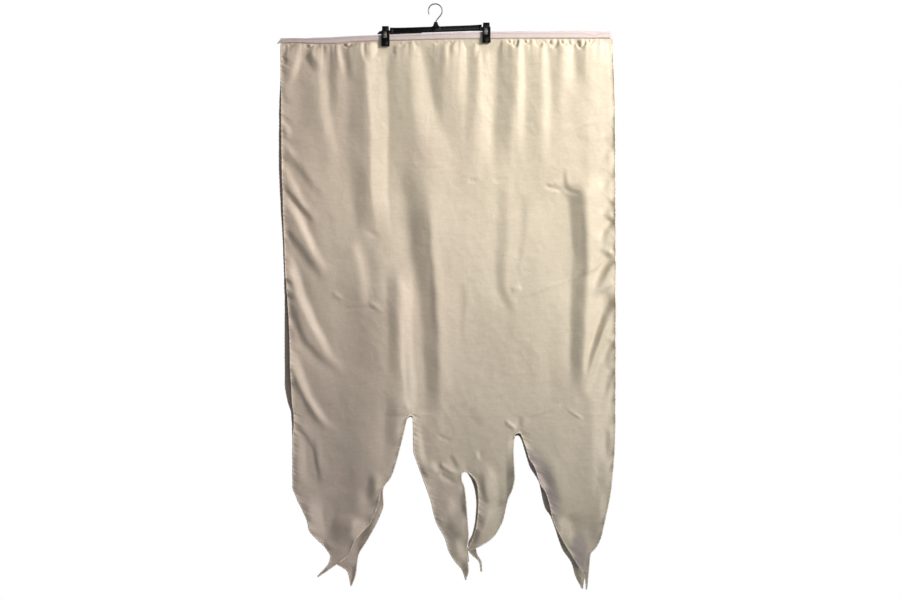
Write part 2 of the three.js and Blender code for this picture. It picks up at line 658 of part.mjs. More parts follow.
// One jaw: a plate with a window over the spring, and the gripping pad at its foot
function jawOutline() {
  const neck = clipNeckWidth / 2;
  const wide = clipWidth / 2;
  const round = clipRound;
  const shape = new THREE.Shape();
  shape.moveTo(-wide + round, clipFoot);
  shape.lineTo(wide - round, clipFoot);
  shape.quadraticCurveTo(wide, clipFoot, wide, clipFoot + round);
  shape.lineTo(wide, clipShoulder - round);
  shape.lineTo(neck, clipShoulder);
  shape.lineTo(neck, clipTop - round);
  shape.quadraticCurveTo(neck, clipTop, neck - round, clipTop);
  shape.lineTo(-neck + round, clipTop);
  shape.quadraticCurveTo(-neck, clipTop, -neck, clipTop - round);
  shape.lineTo(-neck, clipShoulder);
  shape.lineTo(-wide, clipShoulder - round);
  shape.lineTo(-wide, clipFoot + round);
  shape.quadraticCurveTo(-wide, clipFoot, -wide + round, clipFoot);
  shape.holes.push(new THREE.Path([
    new THREE.Vector2(-windowWidth / 2, windowFoot),
    new THREE.Vector2(-windowWidth / 2, windowTop),
    new THREE.Vector2(windowWidth / 2, windowTop),
    new THREE.Vector2(windowWidth / 2, windowFoot),
  ]));
  return shape;
}

function jawGeometry(side) {
  const plate = solidOf(plateGeometry(
    jawOutline(), -jawInner - jawThickness, -jawInner, jawBevel,
  ));
  const half = padWidth / 2;
  const pad = boxSolid(-half, half, -jawInner - jawBevel, -padFace, padFoot, padTop);
  const jaw = geometryOf(plate.add(pad));
  if (side > 0) jaw.rotateZ(Math.PI);
  return jaw;
}

// The spring: a steel strip bent over the rod, a leg behind each jaw's window
function springGeometry() {
  const inner = springInner;
  const outer = springInner + springThickness;
  const seat = -rodDrop + rodHeight / 2 + pieceGap;
  const crown = seat + springThickness;
  const strip = new THREE.Shape([
    [-outer, springFoot], [-inner, springFoot], [-inner, seat], [inner, seat],
    [inner, springFoot], [outer, springFoot], [outer, crown - springBend],
    [outer - springBend, crown], [-outer + springBend, crown], [-outer, crown - springBend],
  ].map(([y, z]) => new THREE.Vector2(y, z)));
  const geometry = new THREE.ExtrudeGeometry(strip, { depth: springWidth, bevelEnabled: false });
  geometry.rotateX(Math.PI / 2);
  geometry.rotateZ(Math.PI / 2);
  geometry.translate(-springWidth / 2, 0, 0);
  return geometry;
}

const satin = (colour) => new THREE.MeshStandardMaterial({
  color: colour, roughness: 0.42, metalness: 0,
});
const blackPlastic = () => new THREE.MeshStandardMaterial({
  color: '#111113', roughness: 0.4, metalness: 0,
});
const ribbon = () => new THREE.MeshStandardMaterial({
  color: '#ead6d2', roughness: 0.7, metalness: 0,
});
const steel = () => new THREE.MeshStandardMaterial({
  color: '#b9b4a8', roughness: 0.3, metalness: 1,
});

const flag = new THREE.Group();

function addPiece(parent, name, geometry, material, x = 0, z = 0) {
  const mesh = new THREE.Mesh(geometry, material);
  mesh.name = name;
  mesh.position.set(x, 0, z);
  parent.add(mesh);
}

addPiece(flag, 'front_cloth', clothGeometry(
  -1, frontEdges, frontRows, frontColumns, frontFalls, frontFolds, 0,
), satin('#e8dcc6'));
addPiece(flag, 'back_cloth', clothGeometry(
  1, backEdges, backRows, backColumns, backFalls, backFolds, 2,
), satin('#e2d6c0'));
addPiece(flag, 'front_band', plateGeometry(
  outlineShape(frontBandOutline), -bandOuter, -bandInner,
), ribbon());
addPiece(flag, 'back_band', plateGeometry(
  outlineShape(backBandOutline), bandInner, bandOuter,
), ribbon());

const hanger = new THREE.Group();
hanger.rotation.y = -hangerTilt;
flag.add(hanger);
addPiece(hanger, 'hook', hookGeometry(), steel());
addPiece(hanger, 'hanger_bar', barGeometry(), blackPlastic(), 0, -barDrop);
for (const [name, side] of [['left', -1], ['right', 1]]) {
  const x = side * clipOffset;
  addPiece(hanger, `clip_${name}_front_jaw`, jawGeometry(-1), blackPlastic(), x, -barDrop);
  addPiece(hanger, `clip_${name}_back_jaw`, jawGeometry(1), blackPlastic(), x, -barDrop);
  addPiece(hanger, `clip_${name}_spring`, springGeometry(), steel(), x, -barDrop);
}

export default flag;
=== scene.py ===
import math

import bmesh
import bpy
import numpy as np
from mathutils import Matrix, Vector


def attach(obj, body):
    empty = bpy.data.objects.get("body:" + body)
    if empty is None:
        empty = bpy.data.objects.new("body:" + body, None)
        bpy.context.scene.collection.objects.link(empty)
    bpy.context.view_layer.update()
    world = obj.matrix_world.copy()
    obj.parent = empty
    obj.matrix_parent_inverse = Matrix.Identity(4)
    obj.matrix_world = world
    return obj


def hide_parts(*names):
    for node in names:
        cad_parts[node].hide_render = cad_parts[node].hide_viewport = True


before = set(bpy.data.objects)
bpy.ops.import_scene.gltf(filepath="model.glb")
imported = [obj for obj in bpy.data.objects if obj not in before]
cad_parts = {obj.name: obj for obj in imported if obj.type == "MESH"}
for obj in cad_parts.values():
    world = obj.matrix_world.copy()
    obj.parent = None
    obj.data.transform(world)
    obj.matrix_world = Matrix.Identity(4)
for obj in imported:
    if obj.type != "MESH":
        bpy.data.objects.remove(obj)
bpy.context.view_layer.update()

MM = 0.001


# Front cloth
# One panel of cream satin, gathered along its top, slit up from its foot into four pointed tongues
# and finished with a narrow rolled hem. The band and the two clips carry it, and it hangs in long
# soft folds, with drag folds that run in from its side hems.

# The foot line of the bands, in millimetres: x, z
band_foot_line = [
    (-475, -116), (-420, -115), (-300, -118), (-250, -112), (-165, -109), (15, -104.5),
    (195, -102.5), (500, -102.5), (524, -119.5), (545, -119.5),
]
mean_foot = -106

# The edges of the front cloth from the bands down to the tongues' tips, in millimetres: z, x. Those
# beside a slit start at its top.
front_edges = dict(
    left=[
        (-90, -462), (-228, -460), (-468, -459), (-588, -455), (-768, -449), (-888, -441),
        (-1008, -435), (-1188, -429), (-1248, -423), (-1308, -426), (-1449, -426), (-1479, -414),
        (-1548, -381), (-1578, -373), (-1635, -324), (-1656, -312), (-1671, -315), (-1716, -351),
    ],
    slit_left_a=[
        (-1232, -73), (-1235, -79), (-1245, -85), (-1278, -93), (-1338, -108), (-1413, -131),
        (-1464, -165), (-1488, -168), (-1518, -177), (-1554, -193), (-1611, -243), (-1638, -253),
        (-1659, -267), (-1683, -303), (-1716, -351),
    ],
    slit_left_b=[
        (-1232, -73), (-1234, -68), (-1242, -65), (-1338, -63), (-1368, -54), (-1488, -12),
        (-1548, 3), (-1608, 33), (-1638, 42), (-1668, 60), (-1698, 83), (-1725, 92),
    ],
    slit_middle_a=[
        (-1402, 90), (-1404, 83), (-1412, 78), (-1428, 79), (-1449, 87), (-1548, 96), (-1593, 99),
        (-1638, 94), (-1698, 99), (-1725, 92),
    ],
    slit_middle_b=[
        (-1402, 90), (-1404, 98), (-1412, 108), (-1428, 121), (-1449, 128), (-1488, 131),
        (-1533, 129), (-1593, 117), (-1641, 96),
    ],
    slit_right_a=[
        (-1285, 251), (-1287, 244), (-1295, 238), (-1338, 234), (-1422, 237), (-1449, 232),
        (-1488, 216), (-1548, 203), (-1578, 189), (-1602, 171), (-1632, 117), (-1641, 96),
    ],
    slit_right_b=[
        (-1285, 251), (-1287, 256), (-1294, 260), (-1308, 265), (-1338, 276), (-1362, 283),
        (-1392, 301), (-1422, 310), (-1443, 318), (-1458, 329), (-1476, 337), (-1515, 347),
        (-1536, 351), (-1614, 387), (-1668, 420), (-1719, 450), (-1755, 454),
    ],
    right=[
        (-90, 533), (-150, 534), (-230, 537), (-330, 539), (-888, 540), (-1260, 540),
        (-1338, 537), (-1398, 532),
        (-1488, 521), (-1548, 507), (-1608, 491), (-1629, 480), (-1647, 464), (-1698, 459),
        (-1755, 454),
    ],
)


def fold(path, width, tilt=0.0, foot=None, lift=0.0, soft=2.0, ends=(0.15, 0.45)):
    """One fold. path is its middle line (x, z) from its upper end, and width its half width, in mm.
    tilt turns its middle to the right of the path, as a slope. foot is its half width at its lower
    end, where that differs, and lift raises it, in mm. A higher soft gives it firmer sides. ends
    are the shares of its length over which it rises and dies."""
    return dict(path=path, width=(width, foot or width), tilt=tilt, lift=lift, soft=soft, ends=ends)


def crease(path, width, lift):
    """A small crease that stands up, or lies in, by lift, in mm."""
    return fold(path, width, lift=lift, ends=(0.3, 0.3))


# Folds that fall from the gathers
gathered_folds = [
    fold([(-456, -126), (-417, -129)], 7, lift=-3),
    fold([(-459, -150), (-436, -186)], 10, -0.42),
    fold([(-384, -146), (-346, -208)], 13, -0.42, soft=3),
    fold([(-397, -98), (-408, -165), (-419, -210), (-438, -268)], 10, 0.42, soft=3),
    fold([(-381, -220), (-381, -420)], 30, -0.1),
    fold([(-344, -98), (-338, -210), (-328, -318), (-309, -426), (-295, -600)], 10, 0.26, foot=20,
         soft=3),
    fold([(-308, -112), (-304, -360)], 13, -0.2, soft=3),
    fold([(-290, -98), (-284, -153), (-266, -235)], 8, 0.4, soft=3),
    fold([(-262, -100), (-258, -250)], 9, -0.24),
    fold([(-234, -130), (-238, -560)], 24, -0.13, foot=32, soft=4),
    fold([(-214, -98), (-217, -132), (-210, -165), (-188, -196)], 5, 0.45),
    fold([(-200, -110), (-203, -135), (-190, -168)], 5, -0.3),
    fold([(-176, -98), (-178, -138), (-160, -180)], 5, 0.4),
    fold([(-178, -100), (-173, -220), (-167, -400), (-164, -585), (-140, -740)], 34, 0.32, foot=22,
         soft=9, ends=(0.05, 0.3)),
    fold([(-112, -100), (-112, -250), (-106, -350), (-104, -720)], 26, 0.12, foot=34, soft=4),
    fold([(-62, -96), (-58, -160), (-43, -264), (-28, -340), (8, -450), (36, -600)], 18, 0.28,
         foot=48, soft=4, ends=(0.08, 0.5)),
    fold([(4, -96), (6, -200), (10, -300), (12, -400)], 30, -0.14, foot=8, soft=4),
    fold([(34, -98), (36, -220)], 6, 0.16),
    fold([(48, -98), (50, -166)], 6, -0.28),
    fold([(78, -110), (74, -330)], 18, 0.12),
    fold([(68, -140), (66, -350)], 5, -0.1),
    fold([(117, -98), (117, -150), (111, -258), (104, -389), (104, -560)], 15, -0.17, soft=4),
    fold([(152, -110), (152, -350), (150, -520)], 20, 0.15, soft=4),
    fold([(209, -98), (210, -160), (210, -258), (205, -363), (200, -442), (196, -540)], 33, -0.24,
         foot=24, soft=5, ends=(0.05, 0.3)),
    fold([(258, -98), (259, -250), (259, -520)], 12, 0.22, soft=3),
    fold([(296, -120), (296, -300), (298, -560)], 24, -0.1, soft=4),
    fold([(333, -98), (334, -300), (337, -520)], 13, 0.16, soft=3),
    fold([(376, -98), (366, -150), (358, -205), (362, -310), (372, -470)], 15, -0.15, soft=3),
    fold([(402, -110), (402, -290)], 17, 0.15, soft=3),
    fold([(430, -98), (436, -153), (440, -265)], 14, -0.2, soft=4, ends=(0.1, 0.3)),
    fold([(497, -90), (497, -500), (497, -1000), (500, -1480)], 38, 0.1, foot=34, soft=8,
         ends=(0.02, 0.12)),
    fold([(238, -100), (242, -134)], 6, lift=-4),
    fold([(311, -100), (314, -128)], 5, lift=-4),
    fold([(352, -112), (366, -132)], 6, lift=-4),
    fold([(412, -108), (440, -124)], 6, lift=-4),
    fold([(24, -100), (20, -126)], 5, lift=-4),
    fold([(-134, -100), (-128, -130)], 5, lift=-3),
]

# Small loops that the gathering stitches pull up under the band: x, half width and drop, in mm
gathered_folds += [
    fold([(x - half, -98), (x - 0.8 * half, -104 - 0.6 * drop), (x, -106 - drop),
          (x + 0.8 * half, -104 - 0.6 * drop), (x + half, -98)], 3.4, lift=-6, ends=(0.1, 0.1))
    for x, half, drop in (
        (-432, 12, 16), (-376, 15, 26), (-352, 9, 20), (-322, 8, 16), (-262, 13, 22),
        (-240, 8, 14), (-118, 8, 12), (-98, 9, 16), (-84, 7, 10), (-52, 12, 18), (-36, 8, 12),
        (-16, 10, 15), (10, 12, 14), (30, 8, 10), (50, 8, 14), (96, 10, 26), (110, 8, 12),
        (132, 9, 16), (186, 9, 14), (228, 10, 12), (240, 9, 22), (276, 9, 12), (312, 9, 18),
        (336, 8, 12), (356, 10, 20), (388, 9, 14), (412, 12, 20), (438, 11, 24), (466, 9, 12))
]

# Long soft folds of the body, and its small creases
body_folds = [
    fold([(-70, -400), (-64, -510), (-54, -620), (-46, -720), (-33, -810), (-20, -900),
          (-14, -1000), (-10, -1100), (-6, -1200), (-2, -1345)], 42, -0.45, foot=19, soft=3.4,
         ends=(0.3, 0.2)),
    fold([(-18, -600), (-18, -720), (-6, -828), (-2, -936), (6, -1044), (4, -1200)], 9, -0.2),
    fold([(-84, -790), (-84, -900), (-84, -1000), (-80, -1100), (-74, -1180), (-72, -1236)], 17,
         0.3, foot=22, soft=4, ends=(0.2, 0.06)),
    fold([(-82, -1030), (-76, -1200)], 7, -0.2),
    fold([(-96, -930), (-94, -1080), (-86, -1200)], 5, 0.2),
    fold([(-126, -780), (-126, -1000), (-118, -1200)], 17, -0.26, soft=3),
    fold([(-330, -1060), (-330, -1500)], 90, -0.11, soft=3, ends=(0.3, 0.2)),
    fold([(-205, -800), (-215, -1340)], 80, -0.18, soft=3, ends=(0.25, 0.25)),
    fold([(410, -1300), (425, -1640)], 60, -0.06, soft=3, ends=(0.3, 0.2)),
    fold([(376, -840), (376, -1260)], 34, -0.13, soft=3, ends=(0.3, 0.3)),
    fold([(500, -1120), (498, -1300), (488, -1530)], 30, 0.14, foot=20, soft=5, ends=(0.3, 0.3)),
    fold([(150, -560), (150, -1000)], 140, 0.04),
    fold([(-226, -440), (-222, -600), (-206, -720)], 30, -0.2, foot=24, soft=3, ends=(0.3, 0.4)),
    fold([(-222, -668), (-150, -716)], 9, lift=-1.5, ends=(0.4, 0.5)),
    fold([(-238, -700), (-225, -760), (-212, -830), (-205, -890), (-180, -912)], 17, 0.26, foot=13),
    fold([(-196, -720), (-180, -800), (-170, -900)], 16, -0.1),
    fold([(-203, -893), (-150, -926)], 6, lift=3, ends=(0.3, 0.5)),
    crease([(-292, -912), (-148, -914)], 3, -1.6),
    fold([(-310, -868), (-268, -890)], 5, lift=2.6, ends=(0.3, 0.5)),
    fold([(196, -450), (200, -560), (201, -700), (198, -760), (197, -830), (203, -868), (223, -905),
          (262, -952)], 21, -0.22, foot=10, soft=3, ends=(0.3, 0.25)),
    fold([(278, -560), (264, -690), (255, -760), (240, -820)], 14, -0.16, foot=6),
    fold([(86, -832), (86, -920), (84, -1020)], 13, -0.16, foot=5),
    fold([(225, -860), (262, -850)], 8, lift=3.6, ends=(0.4, 0.4)),
    fold([(406, -520), (422, -600), (427, -663), (430, -768), (431, -873), (427, -978),
          (421, -1083), (418, -1210)], 32, -0.44, foot=18, soft=4, ends=(0.12, 0.2)),
    fold([(430, -780), (424, -1000), (419, -1190)], 24, -0.16, foot=12, soft=3, ends=(0.4, 0.3)),
    fold([(446, -600), (449, -760), (440, -900)], 8, -0.14),
    fold([(388, -480), (390, -530), (396, -556)], 5, -0.34, foot=10, ends=(0.4, 0.1)),
    crease([(386, -550), (408, -564), (440, -572)], 5, -3),
    crease([(96, -528), (126, -529)], 3, -3),
    crease([(171, -528), (221, -524)], 3, -3.2),
    crease([(323, -541), (388, -564)], 4, -3.6),
    crease([(330, -548), (384, -530)], 3, 3),
    crease([(355, -412), (430, -372), (512, -338)], 4, 3),
    crease([(-96, -483), (48, -482)], 3, 1.6),
    fold([(272, -1238), (360, -1211), (381, -1205)], 4, lift=2.8, ends=(0.2, 0.3)),
    crease([(390, -1208), (448, -1246)], 4, 2.6),
    fold([(104, -1205), (144, -1270)], 14, -0.14),
]

# Drag folds that run in and down from the left hem, and from the right hem
drag_folds = [
    fold([(-458, -340), (-440, -368), (-424, -410)], 7, 0.24),
    fold([(-458, -372), (-440, -402)], 6, -0.28),
    fold([(-460, -434), (-390, -513), (-330, -597)], 11, -0.3),
    fold([(-455, -402), (-415, -465)], 8, 0.28),
    fold([(-460, -473), (-405, -573), (-366, -640)], 10, 0.36),
    fold([(-456, -540), (-390, -627), (-352, -664)], 8, -0.5),
    fold([(-456, -576), (-425, -617), (-387, -682), (-355, -747), (-305, -814)], 14, 0.55, foot=10,
         soft=3),
    fold([(-452, -663), (-381, -762), (-320, -850)], 13, -0.42),
    fold([(-450, -690), (-425, -730)], 7, 0.3),
    fold([(-448, -740), (-414, -828), (-387, -904), (-355, -979), (-317, -1044), (-255, -1122)], 16,
         0.62, foot=10, soft=3),
    fold([(-444, -830), (-425, -868)], 7, 0.3),
    fold([(-442, -880), (-385, -1014), (-262, -1130)], 12, -0.46),
    fold([(-436, -1020), (-392, -1150), (-365, -1196), (-333, -1244), (-270, -1300)], 15, 0.58,
         foot=9, soft=3),
    fold([(-431, -1098), (-375, -1218), (-318, -1290)], 10, -0.4),
    fold([(-424, -1236), (-402, -1262)], 7, 0.36),
    fold([(-420, -1256), (-386, -1300), (-364, -1368), (-342, -1445)], 8, -0.42),
    fold([(540, -380), (500, -408)], 7, -0.4),
    fold([(540, -430), (504, -462)], 7, -0.45),
    fold([(540, -520), (498, -560)], 8, -0.5),
    fold([(540, -600), (500, -643)], 10, -0.6),
    fold([(538, -632), (506, -670)], 6, 0.4),
    fold([(540, -648), (495, -716)], 10, -0.95),
    fold([(538, -700), (486, -742)], 7, -0.5),
    fold([(536, -740), (480, -786), (420, -823)], 8, foot=5, lift=6.5, ends=(0.1, 0.4)),
    fold([(450, -808), (340, -850), (236, -890)], 4, lift=3.6, ends=(0.2, 0.4)),
    fold([(539, -755), (508, -806), (477, -864)], 13, -1.1, foot=9, soft=3),
    fold([(541, -836), (464, -876)], 9, lift=5.5),
    fold([(541, -856), (523, -915), (503, -965), (482, -1014), (466, -1070), (452, -1134)], 15,
         -1.1, foot=9, soft=3),
    fold([(494, -916), (460, -1030), (446, -1150)], 8, 0.45, soft=3, ends=(0.3, 0.4)),
    fold([(541, -890), (502, -1004), (465, -1125), (452, -1190)], 10, 0.6),
    fold([(538, -1010), (505, -1084)], 9, -0.65),
    fold([(538, -1090), (508, -1178)], 9, -0.6),
    fold([(536, -1130), (512, -1230)], 7, 0.4),
]


def bend(path, width, tilt, foot=None, soft=2.0):
    """A short fold that rises and dies softly, as a hanging tongue turns this way and that."""
    return fold(path, width, tilt, foot, soft=soft, ends=(0.4, 0.4))


# The bends of the four tongues, from left to right
tongue_folds = [
    bend([(-240, -1170), (-226, -1600)], 62, -0.2),
    bend([(-130, -1130), (-134, -1400)], 20, -0.34, soft=3),
    bend([(-396, -1280), (-392, -1380), (-384, -1470)], 20, 0.38, soft=3),
    bend([(-366, -1290), (-358, -1370), (-336, -1460)], 9, -0.5),
    bend([(-352, -1460), (-347, -1640)], 26, 0.6, soft=4),
    bend([(-300, -1490), (-300, -1680)], 20, -0.2),
    bend([(-214, -1440), (-216, -1545)], 20, 0.3),
    bend([(-224, -1525), (-222, -1630)], 24, 0.95, soft=3),
    bend([(-158, -1400), (-170, -1476)], 11, 0.45),
    bend([(-186, -1390), (-196, -1510)], 12, -0.45),
    bend([(-330, -1600), (-318, -1666)], 8, -0.45),
    bend([(-316, -1650), (-350, -1716)], 9, -0.8),
    bend([(-50, -1240), (-42, -1330), (-26, -1410)], 11, 0.5),
    bend([(-44, -1364), (-30, -1446)], 12, -0.34),
    bend([(-14, -1366), (14, -1408)], 9, 0.5),
    bend([(-18, -1424), (-4, -1526)], 16, 0.36),
    bend([(44, -1344), (76, -1396)], 7, -0.55),
    bend([(84, -1452), (86, -1540)], 9, -0.55),
    bend([(52, -1460), (50, -1550)], 14, 0.32),
    bend([(26, -1540), (80, -1616)], 20, -0.6),
    bend([(66, -1590), (90, -1696)], 12, 0.6),
    bend([(84, -1640), (92, -1725)], 9, -0.7),
    bend([(128, -1334), (134, -1372)], 6, 0.55),
    bend([(140, -1384), (146, -1470), (164, -1506)], 9, -0.7),
    bend([(166, -1370), (174, -1480)], 16, 0.4),
    bend([(226, -1308), (226, -1440), (214, -1500)], 11, -0.65, soft=3),
    bend([(206, -1440), (198, -1520)], 12, -0.5),
    bend([(194, -1500), (168, -1575), (126, -1650)], 27, 0.9, foot=17, soft=4),
    bend([(128, -1560), (118, -1622)], 7, -0.5),
    bend([(284, -1310), (330, -1400), (352, -1480), (366, -1560)], 22, -0.36, foot=28, soft=3),
    bend([(298, -1384), (322, -1430), (340, -1470)], 9, 0.6),
    bend([(384, -1526), (404, -1616)], 20, 0.85, soft=3),
    bend([(432, -1560), (434, -1710)], 22, -0.3, soft=3),
    bend([(446, -1680), (454, -1755)], 9, -0.5),
    bend([(520, -1262), (518, -1366)], 9, -0.55),
    bend([(500, -1356), (496, -1470)], 14, -0.2, soft=3),
    bend([(480, -1530), (474, -1646)], 18, -0.3, soft=3),
    bend([(506, -1462), (498, -1556)], 9, 0.45),
]

# Creases that run into the tops of the slits
tongue_folds += [
    crease([(206, -1249), (244, -1276)], 5, 4.6),
    fold([(262, -1236), (252, -1270)], 8, -0.4, ends=(0.3, 0.3)),
    crease([(3, -1290), (52, -1315)], 5, -2.5),
    fold([(14, -1376), (72, -1414)], 7, lift=5),
    fold([(14, -1406), (74, -1444)], 8, lift=-4),
    crease([(-88, -1190), (-72, -1226)], 9, 4),
]

front_folds = gathered_folds + body_folds + drag_folds + tongue_folds


def smoothstep(value, low, high):
    share = np.clip((value - low) / (high - low), 0, 1)
    return share * share * (3 - 2 * share)


def smooth_line(xs, ys, at):
    """A smooth line through given points, with xs rising, that never overshoots them."""
    step = np.diff(xs)
    slope = np.diff(ys) / step
    lean = np.zeros(len(xs))
    lean[0], lean[-1] = slope[0], slope[-1]
    near, far = slope[:-1], slope[1:]
    same = near * far > 0
    one, two = 2 * step[1:] + step[:-1], step[1:] + 2 * step[:-1]
    safe_near, safe_far = np.where(same, near, 1), np.where(same, far, 1)
    lean[1:-1] = np.where(same, (one + two) / (one / safe_near + two / safe_far), 0)
    i = np.clip(np.searchsorted(xs, at) - 1, 0, len(xs) - 2)
    t = np.clip((at - xs[i]) / step[i], 0, 1)
    return (ys[i] * (1 + 2 * t) * (1 - t) ** 2 + ys[i + 1] * t * t * (3 - 2 * t)
            + step[i] * (lean[i] * t * (1 - t) ** 2 - lean[i + 1] * t * t * (1 - t)))


def edge_x(edge, z):
    rows = np.array(edge, float)[::-1]
    return smooth_line(rows[:, 0], rows[:, 1], z)


def band_foot(x):
    line = np.array(band_foot_line, float)
    return np.interp(x, line[:, 0], line[:, 1])


def fold_profile(soft):
    """The height across a fold of tilt 1 and half width 1, whose sides come back to the flat."""
    u = np.linspace(-9, 9, 1801)
    middle = np.exp(-np.abs(u) ** soft)
    sides = np.exp(-(u / 3.2) ** 2)
    slope = middle - sides * middle.sum() / sides.sum()
    height = -np.cumsum(slope) * (u[1] - u[0])
    return u, height - height[0], slope[len(u) // 2]


def fold_height(x, z, one):
    """The relief of one fold at the points x, z, in millimetres."""
    path = np.array(one["path"], float)
    fine = np.linspace(0, len(path) - 1, 4 * (len(path) - 1) + 1)
    knots = np.arange(len(path), dtype=float)
    line = np.column_stack([smooth_line(knots, path[:, 0], fine),
                            smooth_line(knots, path[:, 1], fine)])
    reach = 7 * max(one["width"])
    low, high = line.min(0) - reach, line.max(0) + reach
    near = (x > low[0]) & (x < high[0]) & (z > low[1]) & (z < high[1])
    px, pz = x[near], z[near]
    best = np.full(px.shape, np.inf)
    across = np.zeros(px.shape)
    along = np.zeros(px.shape)
    spans = len(line) - 1
    length = np.hypot(*np.diff(line, axis=0).T).sum()
    for i in range(spans):
        ax, az = line[i]
        dx, dz = line[i + 1] - line[i]
        t = np.clip(((px - ax) * dx + (pz - az) * dz) / (dx * dx + dz * dz), 0, 1)
        rx, rz = px - ax - t * dx, pz - az - t * dz
        distance = np.hypot(rx, rz)
        closer = distance < best
        best = np.where(closer, distance, best)
        across = np.where(closer, np.copysign(distance, -dz * rx + dx * rz), across)
        along = np.where(closer, (i + t) / spans, along)
    rise, die = one["ends"]
    shape = smoothstep(along, 0, rise) * (1 - smoothstep(along, 1 - die, 1))
    width = one["width"][0] + (one["width"][1] - one["width"][0]) * along
    stray = 1.6 * np.sin(along * length / 41 + path[0, 0]) + 0.8 * np.sin(along * length / 17)
    u = (across + stray) / width
    height = one["lift"] * np.exp(-u * u)
    if one["tilt"]:
        table_u, table_h, middle = fold_profile(one["soft"])
        height = height + one["tilt"] / middle * width * np.interp(u, table_u, table_h)
    relief = np.zeros(x.shape)
    relief[near] = shape * height
    return relief


def cloud(x, z, size, tall, seed):
    """Smooth random relief from -1 to 1, in lumps of about size, tall times as high as wide."""
    lattice = np.random.default_rng(seed).uniform(-1, 1, (90, 90))
    u, v = x / size + 45, z / (size * tall) + 75
    i, j = np.floor(u).astype(int), np.floor(v).astype(int)
    a, b = u - i, v - j
    a, b = (t * t * t * (t * (6 * t - 15) + 10) for t in (a, b))
    i, j = i % 89, j % 89
    left = lattice[i, j] * (1 - b) + lattice[i, j + 1] * b
    right = lattice[i + 1, j] * (1 - b) + lattice[i + 1, j + 1] * b
    return left * (1 - a) + right * a


def gathers(x, below, phase):
    """Small uneven pleats that start at the band; the narrow ones run out first."""
    total = np.zeros(x.shape)
    for spacing, height in ((11, 1.2), (17, 1.9), (29, 2.2), (53, 1.9)):
        turn = 2 * np.pi * x / spacing
        wander = 1.3 * np.sin(turn / 6.3 + phase * spacing) + 0.8 * np.sin(turn / 2.9 + phase)
        strength = 0.65 + 0.35 * np.sin(turn / 4.7 + 3 * phase + spacing)
        pleat = 1.6 * (np.abs(np.cos((turn + wander) / 2)) - 0.64)
        total += height * strength * pleat * np.exp(-(below / (1.5 * spacing)) ** 1.4)
    return total


def unevenness(x, z, seed):
    """The slight roll of a large cloth that has hung for a while, and its fine crinkles."""
    lean = x + 0.12 * z
    total = np.zeros(x.shape)
    for i, (size, tall, height) in enumerate((
            (210, 1.5, 3.4), (96, 2.2, 1.9), (44, 2.0, 0.7), (21, 1.6, 0.26))):
        total += height * cloud(lean, z, size, tall, seed + i)
    patch = smoothstep(cloud(x, z, 150, 1.0, seed + 7), -0.1, 0.6)
    crinkle = 1 - np.abs(cloud(x + 0.5 * z, z, 40, 0.8, seed + 8)) ** 0.8
    return total + 0.8 * patch * crinkle


def clip_freedom(x, below):
    """0 where a clip's pads hold the cloth flat, 1 away from them."""
    freedom = np.ones(x.shape)
    for middle in (-150, 153.5):
        aside = smoothstep(np.abs(x - middle), 15, 36)
        under = smoothstep(below, 20, 56)
        freedom = np.minimum(freedom, np.maximum(aside, under))
    return freedom


def cloth_depth(x, z, hem_distance, folds, phase):
    """How far the cloth stands from the middle plane between the two cloths, in millimetres."""
    half_gap, full_swell, softness = 0.9, 12, 1.2
    below = np.maximum(band_foot(x) - z, 0)
    swell = full_swell * (1 - np.exp(-below / 24))
    relief = sum(fold_height(x, z, one) for one in folds)
    relief = relief + unevenness(x, z, int(10 * phase)) + gathers(x, below, phase)
    # Beside the hem: a hollow, small puckers from its stitches, and wider drags
    drawn = np.exp(-hem_distance / 13) * smoothstep(below, 10, 60)
    pucker = np.sin(2 * np.pi * (z + 0.5 * hem_distance) / 14 + 2.4 * np.sin(z / 37 + phase))
    drag = cloud(x, z + 0.6 * hem_distance, 34, 0.6, int(10 * phase) + 9)
    relief = relief + drawn * (1.5 * pucker + 4.4 * drag)
    hollow = ((hem_distance - 8) / 5) ** 2
    relief = relief - 0.5 * np.exp(-hollow) * smoothstep(below, 10, 60)
    free = smoothstep(below, 0, 7) * clip_freedom(x, below)
    # A deep hollow flattens softly before it meets the other cloth
    lifted = softness * np.logaddexp(0, (swell + relief) / softness)
    return half_gap + lifted * free


